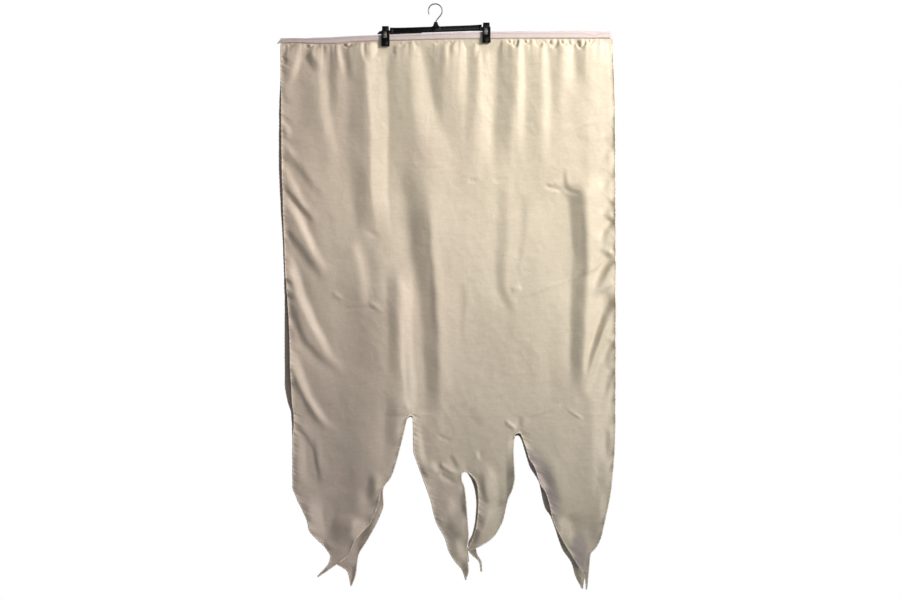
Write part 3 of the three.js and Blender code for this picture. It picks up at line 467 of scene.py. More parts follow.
def cloth_grid(edges, column_step, row_step):
    """Points of the flat front view of a cloth, as one grid for each of its four gores. A gore is
    the cloth above one tongue and the tongue itself. Rows follow the band's line at the top."""
    slits = [edges[key][0][::-1] for key in ("slit_left_a", "slit_middle_a", "slit_right_a")]
    tops = [None, *slits, None]
    sides = [(edges[left], edges[right]) for left, right in (
        ("left", "slit_left_a"), ("slit_left_b", "slit_middle_a"),
        ("slit_middle_b", "slit_right_a"), ("slit_right_b", "right"))]
    steps = [(-92, -104, 4), (-104, -122, 2.5), (-122, -200, 3.6), (-200, -1228, row_step),
             (-1228, -1765, 0.86 * row_step)]
    rows = np.concatenate([np.arange(high, low, -step) for high, low, step in steps])
    apexes = [z for _, z in slits]
    extra = [z - drop for z in apexes for drop in (0, 1.2, 4)]
    rows = rows[np.min(np.abs(rows[:, None] - np.array(extra)), axis=1) > 1]
    rows = np.sort(np.concatenate([rows, extra]))[::-1]
    # The columns stand close to each other beside a hem, at these distances from it
    dense = np.array([0, 1.5, 3.2, 5.5, 8.5, 12.5])
    far = 900.0
    gores = []
    for i, (left, right) in enumerate(sides):
        tip = left[-1][0]
        own = np.concatenate([rows[rows > tip + 3], [tip]])
        bounds = []
        for edge, top in ((left, tops[i]), (right, tops[i + 1])):
            x = edge_x(edge, own)
            slope = np.gradient(x, own)
            free = np.ones(own.shape, bool)
            if top:
                free = own < top[1]
                x = np.where(own >= top[1], top[0], x)
            bounds.append((x, free, np.sqrt(1 + slope ** 2)))
        (x0, free0, lean0), (x1, free1, lean1) = bounds
        wide = np.maximum(x1 - x0, 1.6)
        x0 = (x0 + x1 - wide) / 2
        count = max(int((wide.max() - 25) / column_step), 8)
        scale = np.minimum(1, wide / 50)[:, None]
        inner = np.linspace(0, 1, count + 1)[None, 1:-1]
        start, end = dense[-1] * scale, wide[:, None] - dense[-1] * scale
        across = np.hstack([dense[None, :] * scale, start + (end - start) * inner,
                            wide[:, None] - dense[None, ::-1] * scale])
        x = x0[:, None] + across
        shift = (band_foot(x) - mean_foot) * (1 - smoothstep(-own, -mean_foot, 450)[:, None])
        z = own[:, None] + shift
        hem = np.full(x.shape, far)
        for distance, free, lean, top in (
                (across, free0, lean0, tops[i]),
                (wide[:, None] - across, free1, lean1, tops[i + 1])):
            if top:
                lean = 1 + (lean - 1) * smoothstep(top[1] - own, 10, 70)
            level = distance / lean[:, None]
            if top:
                above = np.hypot(x - top[0], z - top[1])
                level = np.where(free[:, None], level, above)
            hem = np.minimum(hem, level)
        gores.append(dict(x=x, z=z, hem=hem, tops=(tops[i], tops[i + 1]), rows=own))
    return gores


def link_piece(name, data):
    piece = bpy.data.objects.new(name, data)
    bpy.context.scene.collection.objects.link(piece)
    return piece


def link_mesh(name, points, faces, smooth=True):
    mesh = bpy.data.meshes.new(name)
    mesh.from_pydata([tuple(p) for p in points], [], [tuple(f) for f in faces])
    mesh.validate()
    if smooth:
        mesh.shade_smooth()
    return link_piece(name, mesh)


def tube_faces(count, sides):
    """The faces of a closed tube, whose points are count rings of sides points each."""
    faces = [(r * sides + k, (r + 1) * sides + k,
              (r + 1) * sides + (k + 1) % sides, r * sides + (k + 1) % sides)
             for r in range(count - 1) for k in range(sides)]
    last = (count - 1) * sides
    return [*faces, tuple(range(sides)), tuple(range(last, last + sides))[::-1]]


def sweep(name, line, side, across, along, sides):
    """An oval section swept along a line. across is its half width and along its half depth, with
    a value for each point; side is 1 where the depth counts to the back, and -1 to the front."""
    tangent = np.gradient(line, axis=0)
    tangent /= np.linalg.norm(tangent, axis=1)[:, None]
    facing = np.array([0.0, side, 0.0])
    facing = facing - (facing * tangent).sum(1)[:, None] * tangent
    facing /= np.linalg.norm(facing, axis=1)[:, None]
    beside = np.cross(tangent, facing)
    turn = np.linspace(0, 2 * np.pi, sides, endpoint=False)
    rings = (line[:, None, :] + (across[:, None] * np.cos(turn))[:, :, None] * beside[:, None, :]
             + (along[:, None] * np.sin(turn))[:, :, None] * facing[:, None, :])
    return link_mesh(name, rings.reshape(-1, 3), tube_faces(len(line), sides))


def hang_cloth(name, edges, folds, side, phase, column_step, row_step):
    """Makes a cloth and its hem: side is -1 for the front cloth and 1 for the back one."""
    weld, hem_step, half_wide, half_thick = 0.02 * MM, 3 * MM, 2.0 * MM, 1.0 * MM
    points, faces, chain = [], [], []
    start = 0
    for gore in cloth_grid(edges, column_step, row_step):
        x, z = gore["x"], gore["z"]
        depth = cloth_depth(x.ravel(), z.ravel(), gore["hem"].ravel(), folds, phase)
        depth = depth.reshape(x.shape)
        grid = np.dstack([x, side * depth, z]) * MM
        points.append(grid.reshape(-1, 3))
        rows, columns = x.shape
        index = start + np.arange(rows * columns).reshape(rows, columns)
        quads = np.stack([index[:-1, :-1], index[1:, :-1], index[1:, 1:], index[:-1, 1:]], -1)
        quads = quads.reshape(-1, 4)
        faces.append(quads if side < 0 else quads[:, ::-1])
        left_top, right_top = gore["tops"]
        down = gore["rows"] <= (left_top[1] if left_top else 0)
        up = gore["rows"] <= (right_top[1] if right_top else 0)
        chain += [grid[down, 0], grid[up, -1][::-1]]
        start += rows * columns
    cloth = link_mesh(name, np.concatenate(points), np.concatenate(faces).tolist())
    shape = bmesh.new()
    shape.from_mesh(cloth.data)
    bmesh.ops.remove_doubles(shape, verts=shape.verts, dist=weld)
    shape.to_mesh(cloth.data)
    shape.free()
    cloth.data.shade_smooth()

    edge = np.concatenate(chain)
    span = np.r_[0, np.cumsum(np.linalg.norm(np.diff(edge, axis=0), axis=1))]
    keep = np.r_[True, np.diff(span) > 1e-6]
    at = np.arange(0, span[-1], hem_step)
    line = np.column_stack([np.interp(at, span[keep], edge[keep, k]) for k in range(3)])
    puff = 1 + 0.16 * np.sin(at / MM * 2 * np.pi / 13 + 2 * np.sin(at / MM / 61 + phase))
    hem = sweep(name + "_hem", line, side, half_wide * puff, half_thick * puff, 8)
    return cloth, hem


front_cloth, front_hem = hang_cloth("front_satin", front_edges, front_folds, -1, 0.4, 3.3, 5.8)


def feed(tree, node, values):
    """Sets each input of a node to a value, or links it to another node's output."""
    for key, value in values.items():
        if isinstance(value, bpy.types.NodeSocket):
            tree.links.new(value, node.inputs[key])
        else:
            node.inputs[key].default_value = value


def add_node(tree, kind, values=None, **settings):
    node = tree.nodes.new(kind)
    for key, value in settings.items():
        setattr(node, key, value)
    feed(tree, node, values or {})
    return node


def new_material(name):
    material = bpy.data.materials.new(name)
    material.use_nodes = True
    tree = material.node_tree
    tree.nodes.clear()
    shader = add_node(tree, "ShaderNodeBsdfPrincipled")
    add_node(tree, "ShaderNodeOutputMaterial", {"Surface": shader.outputs["BSDF"]})
    return material, tree, shader


def object_place(tree):
    return add_node(tree, "ShaderNodeTexCoord").outputs["Object"]


def noise(tree, place, scale, detail, rough=0.5, distortion=0.0):
    return add_node(tree, "ShaderNodeTexNoise", {
        "Vector": place, "Scale": scale, "Detail": detail, "Roughness": rough,
        "Distortion": distortion,
    }).outputs["Fac"]


def maths(tree, operation, *values):
    return add_node(tree, "ShaderNodeMath", dict(enumerate(values)), operation=operation).outputs[0]


def map_range(tree, value, low, high, to_low=0.0, to_high=1.0, **settings):
    return add_node(tree, "ShaderNodeMapRange", {
        "Value": value, "From Min": low, "From Max": high, "To Min": to_low, "To Max": to_high,
    }, **settings).outputs["Result"]


def mix_colour(tree, share, first, second, blend="MIX"):
    """A colour between two, each of them three numbers or another node's output."""
    first, second = ((*c, 1) if isinstance(c, tuple) else c for c in (first, second))
    return add_node(tree, "ShaderNodeMix", {0: share, 6: first, 7: second}, data_type="RGBA",
                    blend_type=blend).outputs[2]


def add_bump(tree, height, strength, distance, under=None):
    """The normal of a relief, on top of that of a coarser one."""
    values = {"Height": height, "Strength": strength, "Distance": distance}
    if under:
        values["Normal"] = under
    return add_node(tree, "ShaderNodeBump", values).outputs["Normal"]


def node_group(name, inputs, outputs):
    """An empty shader group with named sockets: (name, kind, value) and (name, kind)."""
    group = bpy.data.node_groups.new(name, "ShaderNodeTree")
    for label, kind, value in inputs:
        socket = group.interface.new_socket(label, in_out="INPUT", socket_type=kind)
        if value is not None:
            socket.default_value = value
    for label, kind in outputs:
        group.interface.new_socket(label, in_out="OUTPUT", socket_type=kind)
    entry = group.nodes.new("NodeGroupInput")
    leave = group.nodes.new("NodeGroupOutput")
    return group, entry, leave


def woven_group():
    """Threads and slubs of a woven cloth: a mask of paler and darker threads, and their height.
    Threads is the number of threads per metre of each direction."""
    group, entry, leave = node_group(
        "woven cloth",
        [("Threads", "NodeSocketFloat", 1600.0), ("Slub", "NodeSocketFloat", 0.5)],
        [("Shade", "NodeSocketFloat"), ("Height", "NodeSocketFloat")],
    )
    place = object_place(group)
    sized = add_node(group, "ShaderNodeVectorMath",
                     {0: place, "Scale": entry.outputs["Threads"]}, operation="SCALE")
    warp, weft = (
        add_node(group, "ShaderNodeTexWave",
                 {"Vector": sized.outputs["Vector"], "Scale": 0.16, "Distortion": 0.6},
                 wave_type="BANDS", bands_direction=way).outputs["Fac"]
        for way in ("X", "Z"))
    stretch = add_node(group, "ShaderNodeMapping", {"Vector": place, "Scale": (34, 34, 150)})
    streak = noise(group, stretch.outputs["Vector"], 1.0, 3.0, 0.6)
    blend = add_node(group, "ShaderNodeMix", {
        "Factor": entry.outputs["Slub"], "A": maths(group, "MULTIPLY", warp, weft), "B": streak,
    }, data_type="FLOAT")
    feed(group, leave, {"Height": blend.outputs["Result"], "Shade": streak})
    return group


woven_cloth = woven_group()


def add_weave(tree, threads, slub):
    return add_node(tree, "ShaderNodeGroup", {"Threads": threads, "Slub": slub},
                    node_tree=woven_cloth)


def satin_material(name, upper, lower):
    """Satin with faint slubs across it, whose colour goes a little greyer and darker towards its
    foot: painted shade for the light that falls off downwards.
    """
    material, tree, shader = new_material(name)
    weave = add_weave(tree, 1500, 0.55)
    place = object_place(tree)
    axes = add_node(tree, "ShaderNodeSeparateXYZ", {0: place})
    # Painted shade: the colour darkens from upper to lower down the cloth, for the light that falls
    # off towards its foot
    painted_falloff_colour = mix_colour(tree, map_range(tree, axes.outputs["Z"], -0.5, -1.6), upper, lower)
    # A faint painted cast in large soft patches, lilac towards the left and olive towards the
    # right: painted reflection of the coloured room in the satin
    aside = maths(tree, "ADD", noise(tree, place, 2.6, 2.0), axes.outputs["X"])
    painted_reflection_cast = mix_colour(tree, map_range(tree, aside, 0.2, 0.65), (1.0, 0.955, 0.99),
                      (0.99, 1.0, 0.985))
    colour = mix_colour(tree, 1.0, painted_falloff_colour, painted_reflection_cast, "MULTIPLY")
    # Two long patches of painted lilac shade on the right tongue, for the shade behind the thin
    # cloth that shows through it: middle, lean in degrees, half sizes
    for middle, lean, reach in (((0.327, 0, -1.435), -21, (0.034, 1, 0.13)),
                                ((0.434, 0, -1.64), 0, (0.028, 1, 0.062))):
        lilac_shade_spot = add_node(tree, "ShaderNodeMapping", {
            "Vector": place, "Location": middle, "Rotation": (0, math.radians(lean), 0),
            "Scale": reach,
        }, vector_type="TEXTURE")
        away = add_node(tree, "ShaderNodeVectorMath", {0: lilac_shade_spot.outputs["Vector"]},
                        operation="LENGTH")
        share = map_range(tree, away.outputs["Value"], 1.1, 0.6, interpolation_type="SMOOTHSTEP")
        # Painted shade: the colour darkens towards lilac inside each patch
        colour = mix_colour(tree, share, colour, (0.89, 0.87, 1.0), "MULTIPLY")
    both = maths(tree, "ADD", noise(tree, place, 110.0, 5.0, 0.7), weave.outputs["Shade"])
    toned = add_node(tree, "ShaderNodeVectorMath",
                     {0: colour, "Scale": map_range(tree, both, 0.6, 1.4, 0.92, 1.06)},
                     operation="SCALE")
    crumple = add_bump(tree, noise(tree, place, 26.0, 5.0, 0.55, 0.6), 0.65, 0.0023)
    feed(tree, shader, {
        "Base Color": toned.outputs["Vector"],
        "Roughness": map_range(tree, weave.outputs["Shade"], 0.3, 0.7, 0.42, 0.5),
        "Normal": add_bump(tree, weave.outputs["Height"], 0.4, 0.0003, crumple),
        "Specular IOR Level": 0.5,
        "Sheen Weight": 0.12,
        "Sheen Roughness": 0.45,
    })
    return material


# The cream satin's lower colour is darker than its upper one: painted shade for the light falling
# off towards the foot
cream_satin = satin_material("cream satin", (0.82, 0.73, 0.57), (0.67, 0.605, 0.51))
# The hem's satin is paler than the cloth's: a painted highlight where the rolled hem catches the
# light
hem_satin_painted_highlight = satin_material("rolled satin hem, painted highlight", (0.88, 0.80, 0.67), (0.84, 0.77, 0.68))
front_cloth.data.materials.append(cream_satin)
front_hem.data.materials.append(hem_satin_painted_highlight)
for piece in (front_cloth, front_hem):
    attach(piece, "root")
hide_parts("front_cloth")


# Back cloth
# A second panel of the same satin and cut, gathered on a band of its own behind the first. It
# shows past the front cloth along the left side and at the tips, and the whole of it from behind.

# The edges of the back cloth, in millimetres: z, x
back_edges = dict(
    left=[
        (-90, -461), (-228, -465), (-330, -469), (-468, -469), (-588, -465), (-708, -458),
        (-888, -452), (-1140, -451), (-1188, -444), (-1233, -432), (-1449, -424), (-1479, -410),
        (-1572, -368), (-1644, -311), (-1677, -301), (-1707, -262), (-1749, -253),
    ],
    slit_left_a=[
        (-1239, -75), (-1241, -81), (-1248, -87), (-1338, -110), (-1413, -133), (-1464, -159),
        (-1503, -157), (-1548, -172), (-1608, -204), (-1662, -234), (-1713, -240), (-1749, -253),
    ],
    slit_left_b=[
        (-1239, -75), (-1241, -68), (-1248, -62), (-1338, -59), (-1398, -39), (-1488, -6),
        (-1548, 9), (-1608, 45), (-1656, 90), (-1677, 101),
    ],
    slit_middle_a=[
        (-1402, 90), (-1404, 82), (-1412, 76), (-1449, 84), (-1473, 90), (-1608, 94), (-1677, 101),
    ],
    slit_middle_b=[
        (-1402, 90), (-1404, 95), (-1412, 101), (-1431, 112), (-1464, 122), (-1500, 126),
        (-1548, 123), (-1593, 114), (-1623, 101), (-1644, 103), (-1680, 135), (-1707, 139),
    ],
    slit_right_a=[
        (-1295, 249), (-1297, 242), (-1303, 237), (-1338, 232), (-1422, 234), (-1467, 222),
        (-1512, 208), (-1554, 195), (-1602, 159), (-1632, 121), (-1656, 126), (-1680, 139),
        (-1707, 140),
    ],
    slit_right_b=[
        (-1295, 249), (-1297, 254), (-1303, 259), (-1338, 271), (-1365, 279), (-1392, 288),
        (-1422, 307), (-1440, 316), (-1458, 320), (-1488, 326), (-1518, 335), (-1536, 348),
        (-1572, 362), (-1638, 385), (-1683, 414), (-1716, 423), (-1758, 444),
    ],
    right=[
        (-90, 530), (-162, 532), (-190, 534), (-588, 535), (-1260, 536), (-1338, 534),
        (-1398, 528), (-1488, 517), (-1548, 504), (-1608, 486), (-1641, 461), (-1698, 453),
        (-1758, 444),
    ],
)

# Its own folds: those from the gathers, then the drags and the tongues'
back_folds = [
    fold([(-425, -115), (-440, -375)], 14, 0.1, lift=6),
    fold([(-380, -115), (-372, -495)], 16, lift=-5),
    fold([(-330, -117), (-300, -737)], 20, -0.1, lift=10),
    fold([(-262, -113), (-250, -443)], 16, lift=-5),
    fold([(-205, -110), (-196, -830)], 24, 0.12, lift=10),
    fold([(-110, -108), (-92, -588)], 20, lift=-6),
    fold([(-55, -106), (-20, -866)], 22, -0.12, lift=10),
    fold([(8, -105), (30, -445)], 15, lift=-5),
    fold([(62, -104), (84, -664)], 20, 0.1, lift=8),
    fold([(118, -104), (128, -524)], 15, lift=-5),
    fold([(210, -103), (200, -803)], 24, 0.12, lift=10),
    fold([(268, -103), (280, -463)], 16, lift=-5),
    fold([(330, -103), (352, -743)], 22, -0.1, lift=8),
    fold([(398, -103), (402, -523)], 16, lift=-6),
    fold([(460, -103), (470, -663)], 22, 0.12, lift=8),
    fold([(-458, -560), (-400, -690), (-335, -800)], 14, 0.2, lift=10),
    fold([(-450, -720), (-385, -850), (-300, -960)], 13, lift=-6),
    fold([(-448, -860), (-380, -1000), (-290, -1130)], 15, 0.2, lift=11),
    fold([(-442, -1050), (-370, -1180), (-300, -1300)], 14, lift=8),
    fold([(540, -600), (490, -700), (430, -770)], 13, -0.2, lift=8),
    fold([(542, -780), (480, -880), (440, -980)], 13, lift=-6),
    fold([(540, -920), (480, -1040), (440, -1150)], 15, -0.2, lift=10),
    fold([(-60, -880), (-70, -1060), (-75, -1225)], 18, lift=8),
    fold([(95, -1030), (92, -1230), (90, -1385)], 18, lift=7),
    fold([(262, -940), (256, -1120), (250, -1280)], 16, lift=7),
    fold([(-290, -1310), (-270, -1480), (-262, -1660)], 18, 0.2, lift=7),
    fold([(10, -1380), (50, -1580)], 14, -0.2, lift=5),
    fold([(180, -1380), (165, -1580)], 16, 0.2, lift=5),
    fold([(400, -1310), (420, -1500), (440, -1680)], 18, -0.2, lift=7),
    fold([(-180, -1500), (-214, -1600), (-240, -1700)], 20, 0.55, foot=12, soft=3),
    fold([(-236, -1690), (-253, -1749)], 8, 0.6, ends=(0.2, 0.1)),
    fold([(112, -1636), (139, -1707)], 8, 0.6, ends=(0.2, 0.1)),
    fold([(408, -1690), (444, -1758)], 10, 0.5, ends=(0.2, 0.1)),
]
back_cloth, back_hem = hang_cloth("back_satin", back_edges, back_folds, 1, 2.1, 4.6, 6.2)
back_cloth.data.materials.append(cream_satin)
back_hem.data.materials.append(hem_satin_painted_highlight)
for piece in (back_cloth, back_hem):
    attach(piece, "root")
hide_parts("back_cloth")


# Ribbon bands
# A pale pink ribbon is folded over the gathered top edge of each cloth and stitched through, once
# near its upper edge and once near its foot. The clips hold both bands together.

# The upper and lower edge of each band, in millimetres: x, z
front_band_lines = dict(
    upper=[
        (-474, -117), (-470, -112.5), (-464, -105), (-435, -104), (-393, -102.8), (-369, -100.6),
        (-312, -99.2), (-249, -95.4), (-180, -92.6), (-105, -90.2), (3, -86.2), (75, -83.8),
        (141, -82.6), (195, -81.6), (375, -81.6), (447, -82), (465, -88), (486, -89.5),
        (501, -82.5), (528, -81), (533, -89),
    ],
    lower=[
        (-474, -119), (-462, -116), (-420, -115), (-340, -118), (-282, -117), (-250, -112),
        (-165, -109), (-105, -108), (15, -104.5), (195, -102.5), (375, -102), (533, -101.5),
    ],
)
back_band_lines = dict(
    upper=[
        (-462, -110), (-459, -106), (-393, -104), (-249, -96.5), (-105, -91.4), (3, -87.2),
        (141, -83.4), (360, -81), (405, -79), (465, -79), (489, -80.5), (528, -81.5), (533, -96),
        (539, -98),
    ],
    lower=[
        (-462, -116), (-420, -115), (-340, -118), (-282, -117), (-250, -112), (-165, -109),
        (-105, -108), (15, -104.5), (195, -102.5), (375, -102), (524, -101.5), (529, -118.5),
        (539, -118.5),
    ],
)


def make_band(name, lines, side, phase):
    """A ribbon with rounded edges that waves a little over the gathers under it."""
    upper, lower = (np.array(lines[key], float) for key in ("upper", "lower"))
    x = np.arange(upper[0, 0], upper[-1, 0] + 0.1, 3.0)
    top, foot = np.interp(x, *upper.T), np.interp(x, *lower.T)
    inner, outer, half_thick = 1.95, 3.95, 0.72
    turn = np.linspace(0, 2 * np.pi, 20, endpoint=False)
    # A flat section: a superellipse that is nearly a rectangle
    up = np.sign(np.sin(turn)) * np.abs(np.sin(turn)) ** 0.55
    out = np.sign(np.cos(turn)) * np.abs(np.cos(turn)) ** 0.35
    wave = 0.22 * np.sin(2 * np.pi * x / 23 + phase) + 0.16 * np.sin(2 * np.pi * x / 9.7 + phase)
    middle = (inner + outer) / 2 + wave[:, None] * (up[None, :] < 0) * 0.6
    rings = np.empty((len(x), len(turn), 3))
    rings[:, :, 0] = x[:, None]
    rings[:, :, 1] = side * (middle + half_thick * out[None, :])
    rings[:, :, 2] = ((top + foot) / 2)[:, None] + ((top - foot) / 2)[:, None] * up[None, :]
    band = link_mesh(name, rings.reshape(-1, 3) * MM, tube_faces(len(x), len(turn)))
    shape = bmesh.new()
    shape.from_mesh(band.data)
    bmesh.ops.recalc_face_normals(shape, faces=shape.faces)
    shape.to_mesh(band.data)
    shape.free()

    # Stitches: short threads that lie in a slight hollow, 3.8 mm long, one every 6 mm
    threads, thread_faces = [], []
    for share in (0.7, 0.1):
        for at in np.arange(x[2], x[-3], 6.0):
            level = np.interp(at, x, foot) * (1 - share) + np.interp(at, x, top) * share
            sway = 0.25 * math.sin(at / 3.1 + phase)
            base = len(threads)
            for k, (lean, thick) in enumerate(((-1.9, 0.2), (-1.2, 0.5), (1.2, 0.5), (1.9, 0.2))):
                for corner in range(6):
                    angle = math.pi / 3 * corner
                    threads.append((at + lean, side * (outer - 0.2 + thick * math.cos(angle)),
                                    level + sway * lean / 1.9 + thick * math.sin(angle)))
                if k:
                    ring = base + 6 * k
                    thread_faces += [(ring - 6 + c, ring - 6 + (c + 1) % 6, ring + (c + 1) % 6,
                                      ring + c) for c in range(6)]
    stitches = link_mesh(name + "_stitches", np.array(threads) * MM, thread_faces)
    return band, stitches


front_band, front_stitches = make_band("front_ribbon", front_band_lines, -1, 0.7)
back_band, back_stitches = make_band("back_ribbon", back_band_lines, 1, 2.3)


def ribbon_material():
    material, tree, shader = new_material("pale pink ribbon")
    weave = add_weave(tree, 1100, 0.2)
    place = object_place(tree)
    ribs = add_node(tree, "ShaderNodeTexWave",
                    {"Vector": place, "Scale": 260.0, "Distortion": 0.8, "Detail": 1.0},
                    wave_type="BANDS", bands_direction="Z")
    stains = noise(tree, place, 30.0, 5.0)
    fine = add_bump(tree, weave.outputs["Height"], 0.4, 0.0002)
    feed(tree, shader, {
        "Base Color": mix_colour(tree, stains, (0.80, 0.68, 0.67), (0.88, 0.79, 0.77)),
        "Normal": add_bump(tree, ribs.outputs["Fac"], 0.5, 0.0003, fine),
        "Roughness": 0.62,
        "Sheen Weight": 0.2,
    })
    return material


def mottled_material(name, scale, detail, dark, light, rough):
    """A plain matt stuff whose colour wanders between a darker and a lighter one."""
    material, tree, shader = new_material(name)
    mottle = noise(tree, object_place(tree), scale, detail)
    feed(tree, shader, {"Base Color": mix_colour(tree, mottle, dark, light), "Roughness": rough})
    return material


pink_ribbon = ribbon_material()
rose_thread = mottled_material("rose thread", 900.0, 2.0, (0.30, 0.20, 0.19), (0.50, 0.38, 0.37),
                               0.5)
for band, stitches, node in ((front_band, front_stitches, "front_band"),
                             (back_band, back_stitches, "back_band")):
    band.data.materials.append(pink_ribbon)
    stitches.data.materials.append(rose_thread)
    for piece in (band, stitches):
        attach(piece, "root")
    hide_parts(node)


# Hanger bar
# A bar of moulded black plastic with a recessed web, thick ends, a thin rod past each end on which
# a clip sits, and a waisted boss in its middle for the hook. It hangs 2 degrees out of level.
hanger_turn = Matrix.Rotation(-math.radians(2), 4, "Y")
bar_level = -74.9


def rounded_block(low, high, radius, segments=3):
    """A block between two corners with rounded edges, as a bmesh, in millimetres."""
    shape = bmesh.new()
    bmesh.ops.create_cube(shape, size=1)
    low, high = Vector(low), Vector(high)
    for vertex in shape.verts:
        vertex.co = Vector((low[k] + (high[k] - low[k]) * (vertex.co[k] + 0.5) for k in range(3)))
    bmesh.ops.bevel(shape, geom=shape.edges[:], offset=radius, segments=segments, profile=0.5,
                    affect="EDGES", clamp_overlap=True)
    return shape


def skin_rings(shape, rings):
    """Closes the skin over rings of equal count, with an end face on the first and the last."""
    for lower, upper in zip(rings, rings[1:]):
        for k in range(len(lower)):
            n = (k + 1) % len(lower)
            shape.faces.new((lower[k], lower[n], upper[n], upper[k]))
    shape.faces.new(rings[0][::-1])
    shape.faces.new(rings[-1])


def turned(profile, sides, flat):
    """A turned form about Z from rows of radius and height, closed at both ends, whose front and
    back are cut off flat."""
    shape = bmesh.new()
    rings = []
    for radius, z in profile:
        ring = []
        for k in range(sides):
            angle = 2 * math.pi * k / sides
            y = max(-flat, min(flat, radius * math.sin(angle)))
            ring.append(shape.verts.new((radius * math.cos(angle), y, z)))
        rings.append(ring)
    skin_rings(shape, rings)
    return shape


def rail(stations, half):
    """A moulded rail of rounded section along X, from rows of x, foot and top, in millimetres."""
    squareness = 0.4
    shape = bmesh.new()
    rings = []
    for x, foot, top in stations:
        ring = []
        for k in range(20):
            turn = math.pi * (k + 0.5) / 10
            out, up = math.cos(turn), math.sin(turn)
            out, up = (math.copysign(abs(share) ** squareness, share) for share in (out, up))
            level = (foot + top + (top - foot) * up) / 2
            ring.append(shape.verts.new((x, half * out, bar_level + level)))
        rings.append(ring)
    skin_rings(shape, rings)
    return shape


def join_shapes(name, shapes, place):
    """Joins bmeshes in millimetres into one piece in metres, moved to its place."""
    whole = bmesh.new()
    for shape in shapes:
        part = bpy.data.meshes.new("part")
        shape.to_mesh(part)
        shape.free()
        whole.from_mesh(part)
        bpy.data.meshes.remove(part)
    whole.transform(place @ Matrix.Scale(MM, 4))
    mesh = bpy.data.meshes.new(name)
    whole.to_mesh(mesh)
    whole.free()
    mesh.shade_smooth()
    mesh.set_sharp_from_angle(angle=math.radians(40))
    return link_piece(name, mesh)


def bar_shapes():
    half, web, depth = 138, 1.9, 3.5
    z = bar_level
    # The web, its upper and lower rail, and the rods past its left and right end
    shapes = [
        rounded_block((-half, -web, z - 8), (half, web, z + 8), 0.4),
        rail([(-half, 4.5, 9.8), (-118, 4.5, 8.8), (-92, 4.5, 8.3), (92, 4.5, 8.3),
              (118, 4.5, 8.7), (half, 4.5, 9.4)], depth),
        rail([(-half, -10.4, -4.5), (-100, -10, -4.5), (-46, -9.8, -4.5), (-41, -8.3, -4.5),
              (105, -8.3, -4.5), (half, -9.4, -4.5)], depth),
        rail([(-176, -8.6, -7.2), (-174, -8.8, -4.2), (-169, -8.8, 0), (-163, -8.6, 1.7),
              (-130, -8.2, 1.8)], 3),
        rounded_block((130, -3, z - 8.2), (164, 3, z + 1.8), 1.2),
    ]
    for side in (-1, 1):
        ends = sorted((side * 130, side * half))
        shapes.append(rounded_block((ends[0], -3.6, z - 9.6), (ends[1], 3.6, z + 9), 1.2))
        for rib in (36, 84):
            shapes.append(rounded_block((side * rib - 1, -2.8, z - 5), (side * rib + 1, 2.8, z + 5),
                                        0.5, 2))
    boss = [(12.5, 7.0), (12, 8.2), (10.4, 9.4), (8.8, 11), (7.6, 14), (6.4, 18), (5.4, 20.6),
            (4.6, 21.8), (3.6, 22)]
    shapes.append(turned([(r, z + h) for r, h in boss], 32, 5))
    shapes.append(rounded_block((-13, -3.7, z - 7), (13, 3.7, z + 7.6), 1.2))
    return shapes


bar = join_shapes("hanger_moulding", bar_shapes(), hanger_turn)


def moulded_group():
    """The skin of moulded plastic: a fine grain, and rubbed spots that shine a little more."""
    group, entry, leave = node_group(
        "moulded skin",
        [("Grain", "NodeSocketFloat", 900.0), ("Rub", "NodeSocketFloat", 0.15)],
        [("Roughness", "NodeSocketFloat"), ("Height", "NodeSocketFloat"),
         ("Dust", "NodeSocketFloat")],
    )
    place = object_place(group)
    patches = noise(group, place, 70.0, 4.0)
    shape = add_node(group, "ShaderNodeNewGeometry")
    axes = add_node(group, "ShaderNodeSeparateXYZ", {0: shape.outputs["Normal"]})
    upward = map_range(group, axes.outputs["Z"], 0.3, 1.0, 0.0, 0.5)
    feed(group, leave, {
        "Height": noise(group, place, entry.outputs["Grain"], 3.0),
        "Roughness": maths(group, "MULTIPLY_ADD", patches, entry.outputs["Rub"], 0.2),
        "Dust": maths(group, "MULTIPLY", upward, patches),
    })
    return group


moulded_skin = moulded_group()


def add_skin(tree, grain, rub):
    return add_node(tree, "ShaderNodeGroup", {"Grain": grain, "Rub": rub}, node_tree=moulded_skin)


def plastic_material():
    material, tree, shader = new_material("black plastic")
    skin = add_skin(tree, 800, 0.14)
    feed(tree, shader, {
        "Base Color": mix_colour(tree, skin.outputs["Dust"], (0.003, 0.003, 0.0035),
                                 (0.02, 0.019, 0.018)),
        "Roughness": skin.outputs["Roughness"],
        "Normal": add_bump(tree, skin.outputs["Height"], 0.12, 0.0001),
        "Specular IOR Level": 0.3,
    })
    return material


black_plastic = plastic_material()
bar.data.materials.append(black_plastic)
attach(bar, "root")
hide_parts("hanger_bar")


# Hook
# One steel wire, 3.6 mm thick and plated, set into the boss and bent into an open round crook. Its
# end is rounded off. The seat inside its crown is the origin of the whole part.
wire = 3.6
crook = 19 + wire / 2


def hook_line():
    points = [(0, -65.2), (0, -59), (0, -53.5), (2.5, -48.5), (7.5, -42)]
    for degrees in range(-36, 205, 20):
        angle = math.radians(degrees)
        points.append((crook * math.cos(angle), -19 + crook * math.sin(angle)))
    knots = np.array(points, float)
    span = np.r_[0, np.cumsum(np.hypot(*np.diff(knots, axis=0).T))]
    at = np.linspace(0, span[-1], 120)
    x = smooth_line(span, knots[:, 0], at)
    z = smooth_line(span, knots[:, 1], at)
    kernel = np.array([1, 2, 3, 2, 1]) / 9
    x[2:-2], z[2:-2] = np.convolve(x, kernel, "valid"), np.convolve(z, kernel, "valid")
    return np.column_stack([x, np.zeros(len(x)), z])


